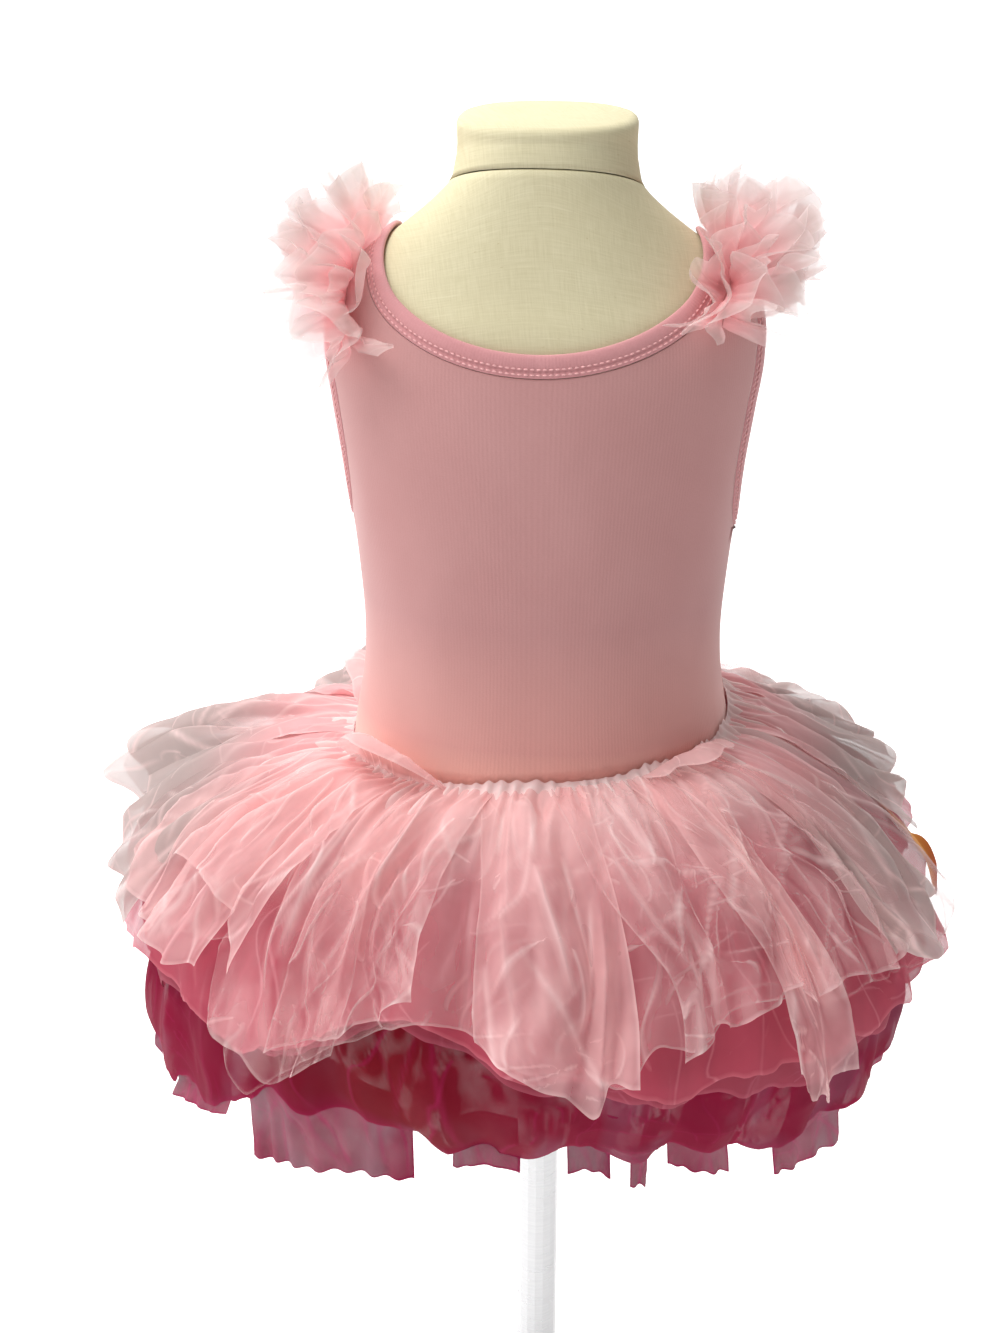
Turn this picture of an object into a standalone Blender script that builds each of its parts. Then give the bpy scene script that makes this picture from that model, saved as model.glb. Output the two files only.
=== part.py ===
"""A child's ballet tutu on a limbless dress form.

A sleeveless stretch-jersey bodice with bound neck and armholes, a gathered tulle frill on each
shoulder, and a skirt of three pale tulle layers over a magenta layer with loose magenta strips.
The form stands on a pole and a round base.

Metres, +Z up. The origin is the centre of the base's underside and -Y is the near side.
An angle round the garment is 0 at the near side (-Y) and grows towards +X.
A height on the body is measured from the waist seam.
"""

import math

import bpy
import numpy as np

# ---------------------------------------------------------------- driving dimensions

WAIST_Z = 0.620  # waist seam above the floor
SEAM_GAP = 0.0003  # between pieces that are sewn or stand on each other
CREASE_ROOM = 0.0003  # more room where both walls bend round a fold
QUARTER = math.pi / 2

# Dress form: one row for each level. The cloth lies on the same shape, moved out.
#  height, half_width, near_depth, far_depth
BODY_SECTIONS = (
    (-0.100, 0.1030, 0.0835, 0.0850),
    (-0.050, 0.1032, 0.0825, 0.0850),
    (0.000, 0.0998, 0.0795, 0.0815),
    (0.035, 0.0942, 0.0750, 0.0765),
    (0.065, 0.0928, 0.0735, 0.0745),
    (0.100, 0.0948, 0.0745, 0.0750),
    (0.130, 0.0980, 0.0760, 0.0760),
    (0.160, 0.1020, 0.0770, 0.0765),
    (0.190, 0.1065, 0.0760, 0.0750),
    (0.215, 0.1090, 0.0725, 0.0710),
    (0.235, 0.1062, 0.0660, 0.0640),
    (0.250, 0.0970, 0.0590, 0.0570),
    (0.262, 0.0842, 0.0530, 0.0510),
    (0.272, 0.0700, 0.0485, 0.0465),
    (0.281, 0.0575, 0.0455, 0.0440),
    (0.290, 0.0480, 0.0435, 0.0420),
    (0.300, 0.0450, 0.0415, 0.0405),
    (0.330, 0.0440, 0.0405, 0.0400),
)
SQUARENESS = 0.86  # power on sine and cosine: 1 is an ellipse, less is squarer
NECK_SEAM = 0.290  # height of the form's neck seam at the sides
NECK_TILT = 0.018  # the neck seam rises this much on the near side, where it is NECK_DEPTH out
NECK_DEPTH = 0.0435
TILT_FROM = 0.245  # the tilt starts at this height
NECK_CURVE = 0.300  # where the neck has turned upright
NECK_TOP = 0.322
CROWN_RISE = 0.004  # the neck block's domed top
CROWN_SHRINK = 0.90
FORM_BOTTOM = -0.100
FOOT_DROP = 0.006  # the form's rounded lower edge
FOOT_SHRINK = 0.93
FORM_SIDES = 28

STAND_POLE_R = 0.0125
STAND_FLANGE_R = 0.034
STAND_FLANGE_H = 0.008
STAND_BASE_R = 0.145
STAND_BASE_H = 0.020
STAND_EDGE_R = 0.006
STAND_BOSS_R = 0.026
STAND_BOSS_H = 0.018
STAND_BOSS_CHAMFER = 0.004
STAND_BASE_CROWN = 0.002  # the base's top rises this much to its boss

# Bodice
CLOTH_GAP = 0.0012  # clear of the form
JERSEY = 0.0013  # wall of the bodice
BAND_WALL = 0.0022  # wall of the neck and armhole binding
BAND_WIDTH = 0.0110
WAIST_TILT = 0.090  # the waist seam rises this much for each metre towards +X
NECKLINE_NEAR = 0.2260  # lowest point of the neckline's free edge, near side
NECKLINE_FAR = 0.2340
NECKLINE_TOP = 0.2705  # on the shoulder
NECKLINE_POWER = 1.75
ARMHOLE_LOW = 0.1290
ARMHOLE_HIGH = 0.2430
ARMHOLE_SPREAD = math.radians(15.0)
PANEL_SIDE_ROWS = 3
PANEL_ARM_ROWS = 10
PANEL_SHOULDER_COLUMNS = 2
PANEL_NECK_COLUMNS = 20
PANEL_CROWDING = 2.0  # how late the columns crowd into the straps
PANEL_ROW_ROOM = 0.0030  # least height between a row and the neckline, for each row below it
NECK_STEPS = 2 * PANEL_NECK_COLUMNS
ARMHOLE_STEPS = 2 * PANEL_ARM_ROWS

# Shoulder frills: the line on the strap that they are gathered to, near side to far side.
#  angle, height
STRAP_LINE = (
    (54.0, 0.220),
    (62.0, 0.236),
    (74.0, 0.2500),
    (90.0, 0.2568),
    (106.0, 0.2500),
    (118.0, 0.236),
    (126.0, 0.222),
)
#  name, start and end along the line, lean from the skin (degrees), root offset, height, waves,
#  wave depth, fan
FRILLS = (
    ("outer", 0.22, 0.90, 34.0, 0.0022, 0.038, 7, 0.0034, 0.012),
    ("crown", 0.00, 1.00, 92.0, 0.0000, 0.040, 9, 0.0046, 0.018),
    ("inner", 0.03, 0.97, 150.0, -0.0022, 0.037, 8, 0.0042, 0.016),
)
TULLE = 0.0010  # wall of every tulle piece
FRILL_COLUMNS = 36
FRILL_ROWS = 2
FRILL_PHASE = (0.7, 2.3)  # where the waves start on the right and on the left shoulder
EVEN_PASSES = 10  # how often neighbouring directions of a frill are averaged

# Skirt. Each layer leaves the waist seam level, swells over a pivot ring below the seam and
# ends at its hem. Puff is the distance from the pivot ring to the cloth where it is level with
# the ring; hem is the angle above the ring's level where the layer ends; flare pushes the cloth
# further out below that level.
PIVOT_DROP = 0.118
LAYER_DROP = 0.0030  # each layer's seam edge lies this much under the one above
PUFF_POWER = 1.5
FLARE_ANGLE = math.radians(30.0)
SKIRT_FOLDS = 24  # folds that all layers share
FOLD_AT_SEAM = 0.0010
FOLD_AT_HEM = 0.0062
FOLD_GROWTH = 1.3
FLARE_POWER = 1.3

# The skirt sags between its seam and its hem by this much against a round swell.
#  angle, sag
SKIRT_SAG = (
    (-180, 0.020),
    (-142, 0.002),
    (-124, 0.030),
    (-107, 0.013),
    (-85, 0.006),
    (-40, 0.004),
    (0, 0.004),
    (40, 0.006),
    (75, 0.012),
    (100, 0.025),
    (125, 0.034),
    (155, 0.034),
)

#  angle, puff, hem, flare
TOP_LAYER = (
    (-180, 0.162, 12, 0.0),
    (-160, 0.150, 22, 0.0),
    (-142, 0.136, 42, 0.0),
    (-124, 0.148, 30, 0.0),
    (-107, 0.198, 23, 0.0),
    (-90, 0.152, 19, 0.0),
    (-80, 0.142, 16, 0.0),
    (-66, 0.127, 8, 0.0),
    (-50, 0.122, 5, 0.0),
    (-33, 0.127, -8, 0.0),
    (-23, 0.121, 7, 0.0),
    (-11, 0.124, 20, 0.0),
    (4, 0.122, 6, 0.0),
    (10, 0.122, 3, 0.0),
    (20, 0.122, 4, 0.0),
    (28, 0.124, 18, 0.0),
    (42, 0.134, 19, 0.0),
    (58, 0.133, 15, 0.0),
    (76, 0.137, 14, 0.0),
    (88, 0.136, 18, 0.0),
    (100, 0.138, 24, 0.0),
    (118, 0.162, 20, 0.0),
    (135, 0.174, 22, 0.0),
    (155, 0.175, 18, 0.0),
)
MIDDLE_LAYER = (
    (-180, 0.150, 0, 0.0),
    (-142, 0.122, 18, 0.0),
    (-124, 0.136, 12, 0.0),
    (-106, 0.160, 7, 0.0),
    (-92, 0.143, -1, 0.0),
    (-78, 0.131, 0, 0.0),
    (-62, 0.114, 2, 0.0),
    (-40, 0.114, 0, 0.0),
    (-14, 0.112, 17, 0.0),
    (2, 0.110, 7, 0.0),
    (16, 0.110, 1, 0.0),
    (32, 0.115, 4, 0.0),
    (50, 0.120, 1, 0.0),
    (66, 0.119, 0, 0.0),
    (80, 0.123, 2, 0.0),
    (100, 0.126, 9, 0.0),
    (120, 0.150, 4, 0.0),
    (150, 0.160, 1, 0.0),
)
LOWER_LAYER = (
    (-180, 0.138, -10, 0.0),
    (-140, 0.110, 4, 0.0),
    (-122, 0.124, -2, 0.0),
    (-106, 0.136, -6, 0.0),
    (-80, 0.120, -10, 0.0),
    (-60, 0.103, -4, 0.0),
    (-38, 0.102, -4, 0.0),
    (-13, 0.101, 12, 0.0),
    (2, 0.099, 1, 0.0),
    (17, 0.099, -5, 0.0),
    (35, 0.105, -9, 0.0),
    (50, 0.108, -12, 0.0),
    (64, 0.108, -12, 0.0),
    (82, 0.112, -8, 0.0),
    (100, 0.115, -1, 0.0),
    (120, 0.137, -6, 0.0),
    (150, 0.147, -10, 0.0),
)
MAGENTA_LAYER = (
    (-180, 0.126, -32, 0.012),
    (-158, 0.112, -30, 0.014),
    (-140, 0.098, -27, 0.016),
    (-122, 0.110, -28, 0.018),
    (-106, 0.121, -26, 0.026),
    (-92, 0.115, -27, 0.033),
    (-72, 0.101, -36, 0.034),
    (-55, 0.091, -32, 0.034),
    (-40, 0.089, -24, 0.026),
    (-25, 0.088, -34, 0.010),
    (-12, 0.087, -50, 0.011),
    (0, 0.087, -46, 0.014),
    (12, 0.086, -52, 0.014),
    (26, 0.086, -50, 0.017),
    (40, 0.089, -46, 0.021),
    (52, 0.093, -43, 0.024),
    (63, 0.095, -39, 0.026),
    (75, 0.097, -33, 0.024),
    (88, 0.100, -26, 0.022),
    (104, 0.104, -26, 0.018),
    (125, 0.120, -28, 0.014),
    (150, 0.127, -30, 0.012),
)
#  node, table, own folds, own fold depth, columns, rows
SKIRT_LAYERS = (
    ("skirt_tulle_top", TOP_LAYER, 17, 0.0016, 96, 5),
    ("skirt_tulle_middle", MIDDLE_LAYER, 19, 0.0012, 96, 4),
    ("skirt_tulle_lower", LOWER_LAYER, 15, 0.0012, 96, 4),
    ("skirt_magenta_layer", MAGENTA_LAYER, 13, 0.0012, 96, 5),
)

# Loose magenta strips inside the magenta layer's hem.
#  first column, columns wide, length below the layer's hem, push outwards
MAGENTA_STRIPS = (
    (29, 5, 0.010, 0.004),
    (35, 8, 0.040, 0.000),
    (45, 3, 0.010, 0.002),
    (50, 2, 0.017, 0.002),
    (53, 1, 0.020, 0.001),
    (55, 3, 0.016, 0.002),
    (60, 4, 0.018, 0.002),
    (67, 4, 0.012, 0.003),
    (74, 4, 0.018, 0.004),
    (80, 4, 0.024, 0.004),
    (86, 4, 0.020, 0.004),
    (92, 3, 0.026, 0.004),
    (2, 4, 0.022, 0.004),
    (8, 3, 0.026, 0.004),
    (14, 5, 0.020, 0.004),
    (23, 3, 0.022, 0.004),
)
STRIP_ROWS = 2
STRIP_FLATTENS = 0.6  # how far the folds have opened at a strip's lower end
STRIP_UNEVEN = 0.10  # share of its length by which a strip's lower edge waves

PETAL_COLUMN = 73  # on the middle layer, at the garment's right
PETAL_WIDTH = 2
PETAL_LENGTH = 0.020
PETAL_TAPER = (1.0, 1.0, 0.8, 0.25)  # share of its width, from the root to the tip

# ---------------------------------------------------------------- materials

#  name: colour, roughness, metallic
MATERIALS = {
    "linen": ((0.62, 0.57, 0.42), 0.95, 0.0),
    "jersey_pink": ((0.72, 0.36, 0.35), 0.80, 0.0),
    "binding_pink": ((0.70, 0.32, 0.33), 0.75, 0.0),
    "tulle_pale": ((0.86, 0.55, 0.55), 0.70, 0.0),
    "tulle_rose": ((0.74, 0.28, 0.33), 0.70, 0.0),
    "tulle_magenta": ((0.45, 0.03, 0.12), 0.60, 0.0),
    "petal_orange": ((0.80, 0.25, 0.06), 0.70, 0.0),
    "stand_metal": ((0.75, 0.75, 0.74), 0.35, 0.6),
}


def material(name):
    """The named Principled material, made on first use."""
    if name in bpy.data.materials:
        return bpy.data.materials[name]
    colour, roughness, metallic = MATERIALS[name]
    made = bpy.data.materials.new(name)
    made.use_nodes = True
    shader = made.node_tree.nodes["Principled BSDF"]
    shader.inputs["Base Color"].default_value = (*colour, 1.0)
    shader.inputs["Roughness"].default_value = roughness
    shader.inputs["Metallic"].default_value = metallic
    made.diffuse_color = (*colour, 1.0)
    return made


# ---------------------------------------------------------------- tables and curves


def hermite(position, places, values):
    """A smooth curve through the values, with level tangents averaged from the neighbours."""
    places = np.asarray(places, float)
    values = np.asarray(values, float)
    slopes = np.gradient(values, places)
    position = np.clip(position, places[0], places[-1])
    step = np.clip(np.searchsorted(places, position, side="right") - 1, 0, len(places) - 2)
    span = places[step + 1] - places[step]
    t = (position - places[step]) / span
    start = (1 + 2 * t) * (1 - t) ** 2 * values[step] + t * (1 - t) ** 2 * span * slopes[step]
    end = t**2 * (3 - 2 * t) * values[step + 1] + t**2 * (t - 1) * span * slopes[step + 1]
    return start + end


def round_table(table, column, angle):
    """A column of a table whose first column is an angle in degrees, read all the way round."""
    rows = [(row[0] + turn, row[column]) for turn in (-360, 0, 360) for row in table]
    places, values = zip(*rows)
    turned = np.mod(np.degrees(angle) + 180.0, 360.0) - 180.0
    return hermite(turned, places, values)


def ease(value):
    """0 to 1 with level ends."""
    t = np.clip(value, 0.0, 1.0)
    return t * t * (3 - 2 * t)


def unit(vectors):
    return vectors / np.linalg.norm(vectors, axis=-1, keepdims=True)


def signed_power(value, power):
    return np.sign(value) * np.abs(value) ** power


def evened(vectors, passes=EVEN_PASSES):
    """Directions along a line, each averaged with its neighbours."""
    for _ in range(passes):
        padded = np.concatenate([vectors[:1], vectors, vectors[-1:]])
        vectors = (padded[:-2] + 2 * vectors + padded[2:]) / 4
    return unit(vectors)


# ---------------------------------------------------------------- the body's surface


def on_form(angle, height):
    """The dress form's surface, in world coordinates."""
    places = [row[0] for row in BODY_SECTIONS]
    half_width, near, far = (
        hermite(height, places, [row[i] for row in BODY_SECTIONS]) for i in (1, 2, 3)
    )
    sine, cosine = np.sin(angle), np.cos(angle)
    depth = np.where(cosine >= 0, near, far)
    tilt = NECK_TILT * ease((height - TILT_FROM) / (NECK_SEAM - TILT_FROM))
    x = half_width * signed_power(sine, SQUARENESS)
    y = -depth * signed_power(cosine, SQUARENESS)
    z = WAIST_Z + height - tilt * y / NECK_DEPTH
    return np.stack([x, y, z], axis=-1)


def slopes(angle, height):
    """How the form's surface moves for each radian and each metre of height."""
    turn, rise = 0.004, 0.0008
    round_it = (on_form(angle + turn, height) - on_form(angle - turn, height)) / (2 * turn)
    up_it = (on_form(angle, height + rise) - on_form(angle, height - rise)) / (2 * rise)
    return round_it, up_it


def outward(angle, height):
    round_it, up_it = slopes(angle, height)
    return unit(np.cross(round_it, up_it))


def on_body(angle, height, offset):
    """The form's surface moved out by offset."""
    return on_form(angle, height) + offset * outward(angle, height)


def slide(angle, height, direction, distance):
    """Moves along the form's surface in a direction given in space."""
    round_it, up_it = slopes(angle, height)
    a = np.sum(round_it * round_it, axis=-1)
    b = np.sum(round_it * up_it, axis=-1)
    c = np.sum(up_it * up_it, axis=-1)
    p = np.sum(round_it * direction, axis=-1) * distance
    q = np.sum(up_it * direction, axis=-1) * distance
    det = a * c - b * b
    return angle + (c * p - b * q) / det, height + (a * q - b * p) / det


def offset_loop(angle, height, distance, steps=4):
    """A closed line on the body moved sideways along the surface; positive is to its left."""
    for _ in range(steps):
        points = on_form(angle, height)
        along = unit(np.roll(points, -1, axis=0) - np.roll(points, 1, axis=0))
        across = unit(np.cross(outward(angle, height), along))
        angle, height = slide(angle, height, across, distance / steps)
    return angle, height


# ---------------------------------------------------------------- neckline and armholes


def waist_height(angle):
    """The waist seam is slightly higher towards +X."""
    return WAIST_TILT * on_form(angle, np.zeros_like(angle))[..., 0]


def neckline(steps):
    """The free edge of the neck, once round."""
    angle = np.arange(steps) * 2 * math.pi / steps
    low = np.where(np.cos(angle) >= 0, NECKLINE_NEAR, NECKLINE_FAR)
    height = low + (NECKLINE_TOP - low) * np.abs(np.sin(angle)) ** NECKLINE_POWER
    return angle, height


def armhole(steps):
    """The free edge of the +X armhole: from its lowest point up the near side and back."""
    turn = np.arange(steps) * 2 * math.pi / steps
    middle = (ARMHOLE_LOW + ARMHOLE_HIGH) / 2
    half = (ARMHOLE_HIGH - ARMHOLE_LOW) / 2
    return QUARTER - ARMHOLE_SPREAD * np.sin(turn), middle - half * np.cos(turn)


def neck_edge(inset, steps=NECK_STEPS):
    return offset_loop(*neckline(steps), -inset)


def armhole_edge(inset, steps=ARMHOLE_STEPS):
    return offset_loop(*armhole(steps), inset)


# ---------------------------------------------------------------- mesh helpers


def add_object(name, mesh, slot, collection):
    mesh.materials.append(material(slot))
    made = bpy.data.objects.new(name, mesh)
    collection.objects.link(made)
    return made


def smooth(mesh, degrees=40.0):
    mesh.shade_smooth()
    mesh.set_sharp_from_angle(angle=math.radians(degrees))


def grid_faces(rows, columns, closed):
    """Quads of a grid of points, row by row; a closed grid joins its last column to its first."""
    last = columns if closed else columns - 1
    return [
        (
            row * columns + column,
            row * columns + (column + 1) % columns,
            (row + 1) * columns + (column + 1) % columns,
            (row + 1) * columns + column,
        )
        for row in range(rows - 1)
        for column in range(last)
    ]


def add_sheet(name, points, wall, slot, collection, closed=False):
    """A cloth wall of even thickness round a grid of points of shape (rows, columns, 3)."""
    rows, columns = points.shape[:2]
    mesh = bpy.data.meshes.new(name)
    mesh.from_pydata(points.reshape(-1, 3).tolist(), [], grid_faces(rows, columns, closed))
    made = add_object(name, mesh, slot, collection)
    smooth(mesh)
    shell = made.modifiers.new("wall", "SOLIDIFY")
    shell.thickness = wall
    shell.offset = 0.0
    return made


def add_loft(name, rings, slot, collection):
    """A closed solid through rings of equal length, bottom first, with flat ends."""
    rings = np.asarray(rings)
    count, sides = rings.shape[:2]
    faces = grid_faces(count, sides, True)
    faces.append(tuple(reversed(range(sides))))
    faces.append(tuple(range((count - 1) * sides, count * sides)))
    mesh = bpy.data.meshes.new(name)
    mesh.from_pydata(rings.reshape(-1, 3).tolist(), [], faces)
    smooth(mesh)
    return add_object(name, mesh, slot, collection)


def add_turned(name, profile, slot, collection, sides=32):
    """A profile of (radius, height) points turned about the Z axis."""
    mesh = bpy.data.meshes.new(name)
    points = [(radius, 0.0, height) for radius, height in profile]
    mesh.from_pydata(points, [(i, i + 1) for i in range(len(points) - 1)], [])
    made = add_object(name, mesh, slot, collection)
    turn = made.modifiers.new("turn", "SCREW")
    turn.steps = sides
    turn.render_steps = sides
    turn.use_merge_vertices = True
    turn.merge_threshold = 0.0001
    turn.use_smooth_shade = False
    return made


# ---------------------------------------------------------------- form and stand


def build_form(collection):
    """Torso up to the tilted neck seam, and the neck block above it."""
    angle = np.arange(FORM_SIDES) * 2 * math.pi / FORM_SIDES
    heights = [row[0] for row in BODY_SECTIONS if row[0] <= NECK_SEAM]
    rings = [on_form(angle, np.full(FORM_SIDES, height)) for height in heights]
    foot = rings[0].copy()
    foot[:, :2] *= FOOT_SHRINK
    foot[:, 2] -= FOOT_DROP
    add_loft("form_torso", [foot, *rings], "linen", collection)

    base = on_form(angle, np.full(FORM_SIDES, NECK_SEAM))
    base[:, 2] += SEAM_GAP
    collar = on_form(angle, np.full(FORM_SIDES, NECK_CURVE))
    top = on_form(angle, np.full(FORM_SIDES, NECK_TOP))
    top[:, 2] = WAIST_Z + NECK_TOP
    crown = top.copy()
    crown[:, :2] *= CROWN_SHRINK
    crown[:, 2] += CROWN_RISE
    add_loft("form_neck_cap", [base, collar, top, crown], "linen", collection)


def build_stand(collection):
    top = WAIST_Z + FORM_BOTTOM - FOOT_DROP - SEAM_GAP
    foot = STAND_BASE_H + STAND_BOSS_H + SEAM_GAP
    pole = (
        (0.0, top),
        (STAND_FLANGE_R, top),
        (STAND_FLANGE_R, top - STAND_FLANGE_H),
        (STAND_POLE_R, top - 2 * STAND_FLANGE_H),
        (STAND_POLE_R, foot),
        (0.0, foot),
    )
    add_turned("stand_pole", pole, "stand_metal", collection, sides=16)
    arc = [math.radians(90 - 45 * i) for i in range(3)]
    rim = [
        (
            STAND_BASE_R - STAND_EDGE_R + STAND_EDGE_R * math.cos(a),
            STAND_BASE_H - STAND_EDGE_R + STAND_EDGE_R * math.sin(a),
        )
        for a in arc
    ]
    boss_top = STAND_BASE_H + STAND_BOSS_H
    base = [
        (0.0, boss_top),
        (STAND_BOSS_R - STAND_BOSS_CHAMFER, boss_top),
        (STAND_BOSS_R, boss_top - STAND_BOSS_CHAMFER),
        (STAND_BOSS_R, STAND_BASE_H + STAND_BASE_CROWN),
        *rim,
        (STAND_BASE_R, 0.0),
        (0.0, 0.0),
    ]
    add_turned("stand_base", base, "stand_metal", collection, sides=36)


# ---------------------------------------------------------------- bodice


def panel_sides(far):
    """The side seam's angle, and the angles and heights of the armhole's edge above it.

    Angles are measured from the panel's own middle.
    """
    half_gap = SEAM_GAP / 2 / BODY_SECTIONS[5][1]
    seam_angle = QUARTER - half_gap
    arm_angle, arm_height = armhole_edge(BAND_WIDTH + SEAM_GAP)
    picks = (np.arange(PANEL_ARM_ROWS + 1) * (-1 if far else 1)) % ARMHOLE_STEPS
    arm_angle = math.pi - arm_angle[picks] if far else arm_angle[picks]
    arm_angle[0] = arm_angle[-1] = seam_angle
    return seam_angle, arm_angle, arm_height[picks]


def panel_grid(far):
    """Angles and heights of a panel's points, rows from the waist seam up.

    Every row runs between the side edges, so that no point leaves the panel, and the rows bend
    down towards the middle until the last one is the shoulders and the neckline.
    """
    seam_angle, arm_angle, arm_height = panel_sides(far)
    turn = math.pi if far else 0.0
    rows = PANEL_SIDE_ROWS + PANEL_ARM_ROWS + 1
    columns = PANEL_NECK_COLUMNS + 2 * PANEL_SHOULDER_COLUMNS + 1
    u = np.linspace(0, 1, columns)[None, :]
    v = np.linspace(0, 1, rows)[:, None]
    # the top: shoulder, neckline, shoulder
    neck_angle, neck_height = neck_edge(BAND_WIDTH + SEAM_GAP)
    half = PANEL_NECK_COLUMNS // 2
    picks = (np.arange(-half, half + 1) + (NECK_STEPS // 2 if far else 0)) % NECK_STEPS
    neck_angle = np.mod(neck_angle[picks] - turn + math.pi, 2 * math.pi) - math.pi
    neck_angle[0], neck_angle[-1] = -seam_angle, seam_angle
    neck = neck_height[picks]
    shoulder = np.linspace(arm_height[-1], neck[0], PANEL_SHOULDER_COLUMNS + 1)[:-1]
    strap = np.full(PANEL_SHOULDER_COLUMNS, seam_angle)
    top_angle = np.concatenate([-strap, neck_angle, strap])
    top_height = np.concatenate([shoulder, neck, shoulder[::-1]])
    # the side: seam, then armhole
    side_angle = np.concatenate([np.full(PANEL_SIDE_ROWS, seam_angle), arm_angle])[:, None]
    foot = waist_height(turn + np.linspace(-seam_angle, seam_angle, columns))
    climbs = []
    for low in (foot[0], foot[-1]):
        rise = np.linspace(low, arm_height[0], PANEL_SIDE_ROWS + 1)[:-1]
        climb = np.concatenate([rise, arm_height])
        climbs.append(((climb - low) / (climb[-1] - low))[:, None])
    # between them
    crowding = v**PANEL_CROWDING
    share = (1 - crowding) * u + crowding * (top_angle + seam_angle) / (2 * seam_angle)
    angle = side_angle * (2 * share - 1)
    climb = (1 - u) * climbs[0] + u * climbs[1]
    height = foot + (top_height - foot) * climb
    ceiling = np.interp(angle, neck_angle, neck) - PANEL_ROW_ROOM * (rows - 1) * (1 - v)
    height[:-1, 1:-1] = np.minimum(height, ceiling)[:-1, 1:-1]
    return angle, height


def build_bodice(collection):
    middle = CLOTH_GAP + JERSEY / 2
    for name, far in (("bodice_front", False), ("bodice_back", True)):
        angle, height = panel_grid(far)
        points = on_body(angle + (math.pi if far else 0.0), height, middle)
        add_sheet(name, points, JERSEY, "jersey_pink", collection)

    middle = CLOTH_GAP + BAND_WALL / 2
    edges = [neck_edge(BAND_WIDTH), neck_edge(BAND_WIDTH / 2), neckline(NECK_STEPS)]
    rings = np.array([on_body(*edge, middle) for edge in edges])
    add_sheet("neck_binding", rings, BAND_WALL, "binding_pink", collection, closed=True)

    edges = [armhole_edge(BAND_WIDTH), armhole(ARMHOLE_STEPS)]
    rings = np.array([on_body(*edge, middle) for edge in edges])
    mirrored = rings[::-1] * np.array([-1.0, 1.0, 1.0])
    for name, points in (("armhole_binding_right", rings), ("armhole_binding_left", mirrored)):
        add_sheet(name, points, BAND_WALL, "binding_pink", collection, closed=True)


# ---------------------------------------------------------------- shoulder frills


def frill_points(start, end, lean, root, tall, waves, depth, fan, phase):
    """A fan of tulle gathered to the +X strap's line: rows from the gathers to the free edge."""
    t = np.linspace(0, 1, FRILL_COLUMNS + 1)
    places = np.linspace(0, 1, len(STRAP_LINE))
    line = start + (end - start) * t
    angle = np.radians(hermite(line, places, [row[0] for row in STRAP_LINE]))
    height = hermite(line, places, [row[1] for row in STRAP_LINE])
    lean_angle = math.radians(lean)
    lift = CLOTH_GAP + JERSEY + SEAM_GAP + TULLE / 2 * abs(math.cos(lean_angle))
    along = evened(np.gradient(on_form(angle, height), axis=0))
    side = evened(np.cross(outward(angle, height), along))
    side *= np.sign(side[len(t) // 2, 0])
    angle, height = slide(angle, height, side, root)
    base = on_body(angle, height, lift)
    up = outward(angle, height)
    direction = evened(math.cos(lean_angle) * side + math.sin(lean_angle) * up)
    across = unit(np.cross(along, direction))
    swing = np.sin(2 * math.pi * (waves * t + 0.35 * np.sin(5.0 * t + phase)) + phase)
    tallness = tall * (0.80 + 0.20 * np.sin(math.pi * t)) * (1 + 0.10 * np.sin(17 * t + phase))
    spread = (t - 0.5) * 2 * fan
    rows = []
    for s in np.linspace(0, 1, FRILL_ROWS + 1):
        point = base + (tallness * s)[:, None] * direction
        point = point + (spread * s)[:, None] * along
        point = point + (depth * s * swing)[:, None] * across
        rows.append(point)
    return np.array(rows)


def build_frills(collection):
    for index, (name, *sizes) in enumerate(FRILLS):
        for side, sign, shift in (("right", 1.0, FRILL_PHASE[0]), ("left", -1.0, FRILL_PHASE[1])):
            points = frill_points(*sizes, 1.1 * index + shift)
            if sign < 0:
                points = points[:, ::-1] * np.array([-1.0, 1.0, 1.0])
            add_sheet(f"frill_{side}_{name}", points, TULLE, "tulle_pale", collection)


# ---------------------------------------------------------------- skirt


def layer_points(order, columns, rows, beyond=()):
    """A skirt layer's wall, rows from the seam to the hem.

    beyond adds rows past the hem, each so many metres further along the cloth.
    """
    _, table, own_folds, own_depth, _, _ = SKIRT_LAYERS[order]
    angle = np.arange(columns) * 2 * math.pi / columns - math.pi
    ring = on_body(angle, np.zeros_like(angle), CLOTH_GAP + JERSEY / 2)
    seam = waist_height(angle) + WAIST_Z
    outwards = np.stack([np.sin(angle), -np.cos(angle), np.zeros_like(angle)], axis=-1)
    start = PIVOT_DROP - SEAM_GAP - TULLE / 2 - order * LAYER_DROP
    puff = round_table(table, 1, angle)
    hem = np.radians(round_table(table, 2, angle))
    flare = round_table(table, 3, angle)
    sag = round_table(SKIRT_SAG, 1, angle)
    drift = 0.8 * np.sin(3 * angle + 0.4) + 0.5 * np.sin(5 * angle + 1.9)
    shared = np.sin(SKIRT_FOLDS * angle + drift)
    own = np.sin(own_folds * angle + 1.3 * order + 0.9 * np.sin(4 * angle + order))
    result = []
    hem_distance = [0.0, *beyond]
    for index in range(rows + len(hem_distance)):
        s = min(index / rows, 1.0)
        past = hem_distance[max(index - rows, 0)]
        bearing = QUARTER - s * (QUARTER - hem) - past / puff
        turn = (QUARTER - bearing) / QUARTER
        fold = FOLD_AT_SEAM * ease(4 * s) + (FOLD_AT_HEM - FOLD_AT_SEAM) * s**FOLD_GROWTH
        reach = start + (puff - start) * turn**PUFF_POWER
        reach = reach - sag * np.sin(math.pi * np.minimum(turn, 1.0))
        reach = reach + flare * np.maximum(-bearing / FLARE_ANGLE, 0.0) ** FLARE_POWER
        reach = reach + fold * shared + own_depth * s * own
        point = ring + outwards * (reach * np.cos(bearing))[:, None]
        point[:, 2] = seam - PIVOT_DROP + reach * np.sin(bearing)
        result.append(point)
    return np.array(result)


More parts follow.
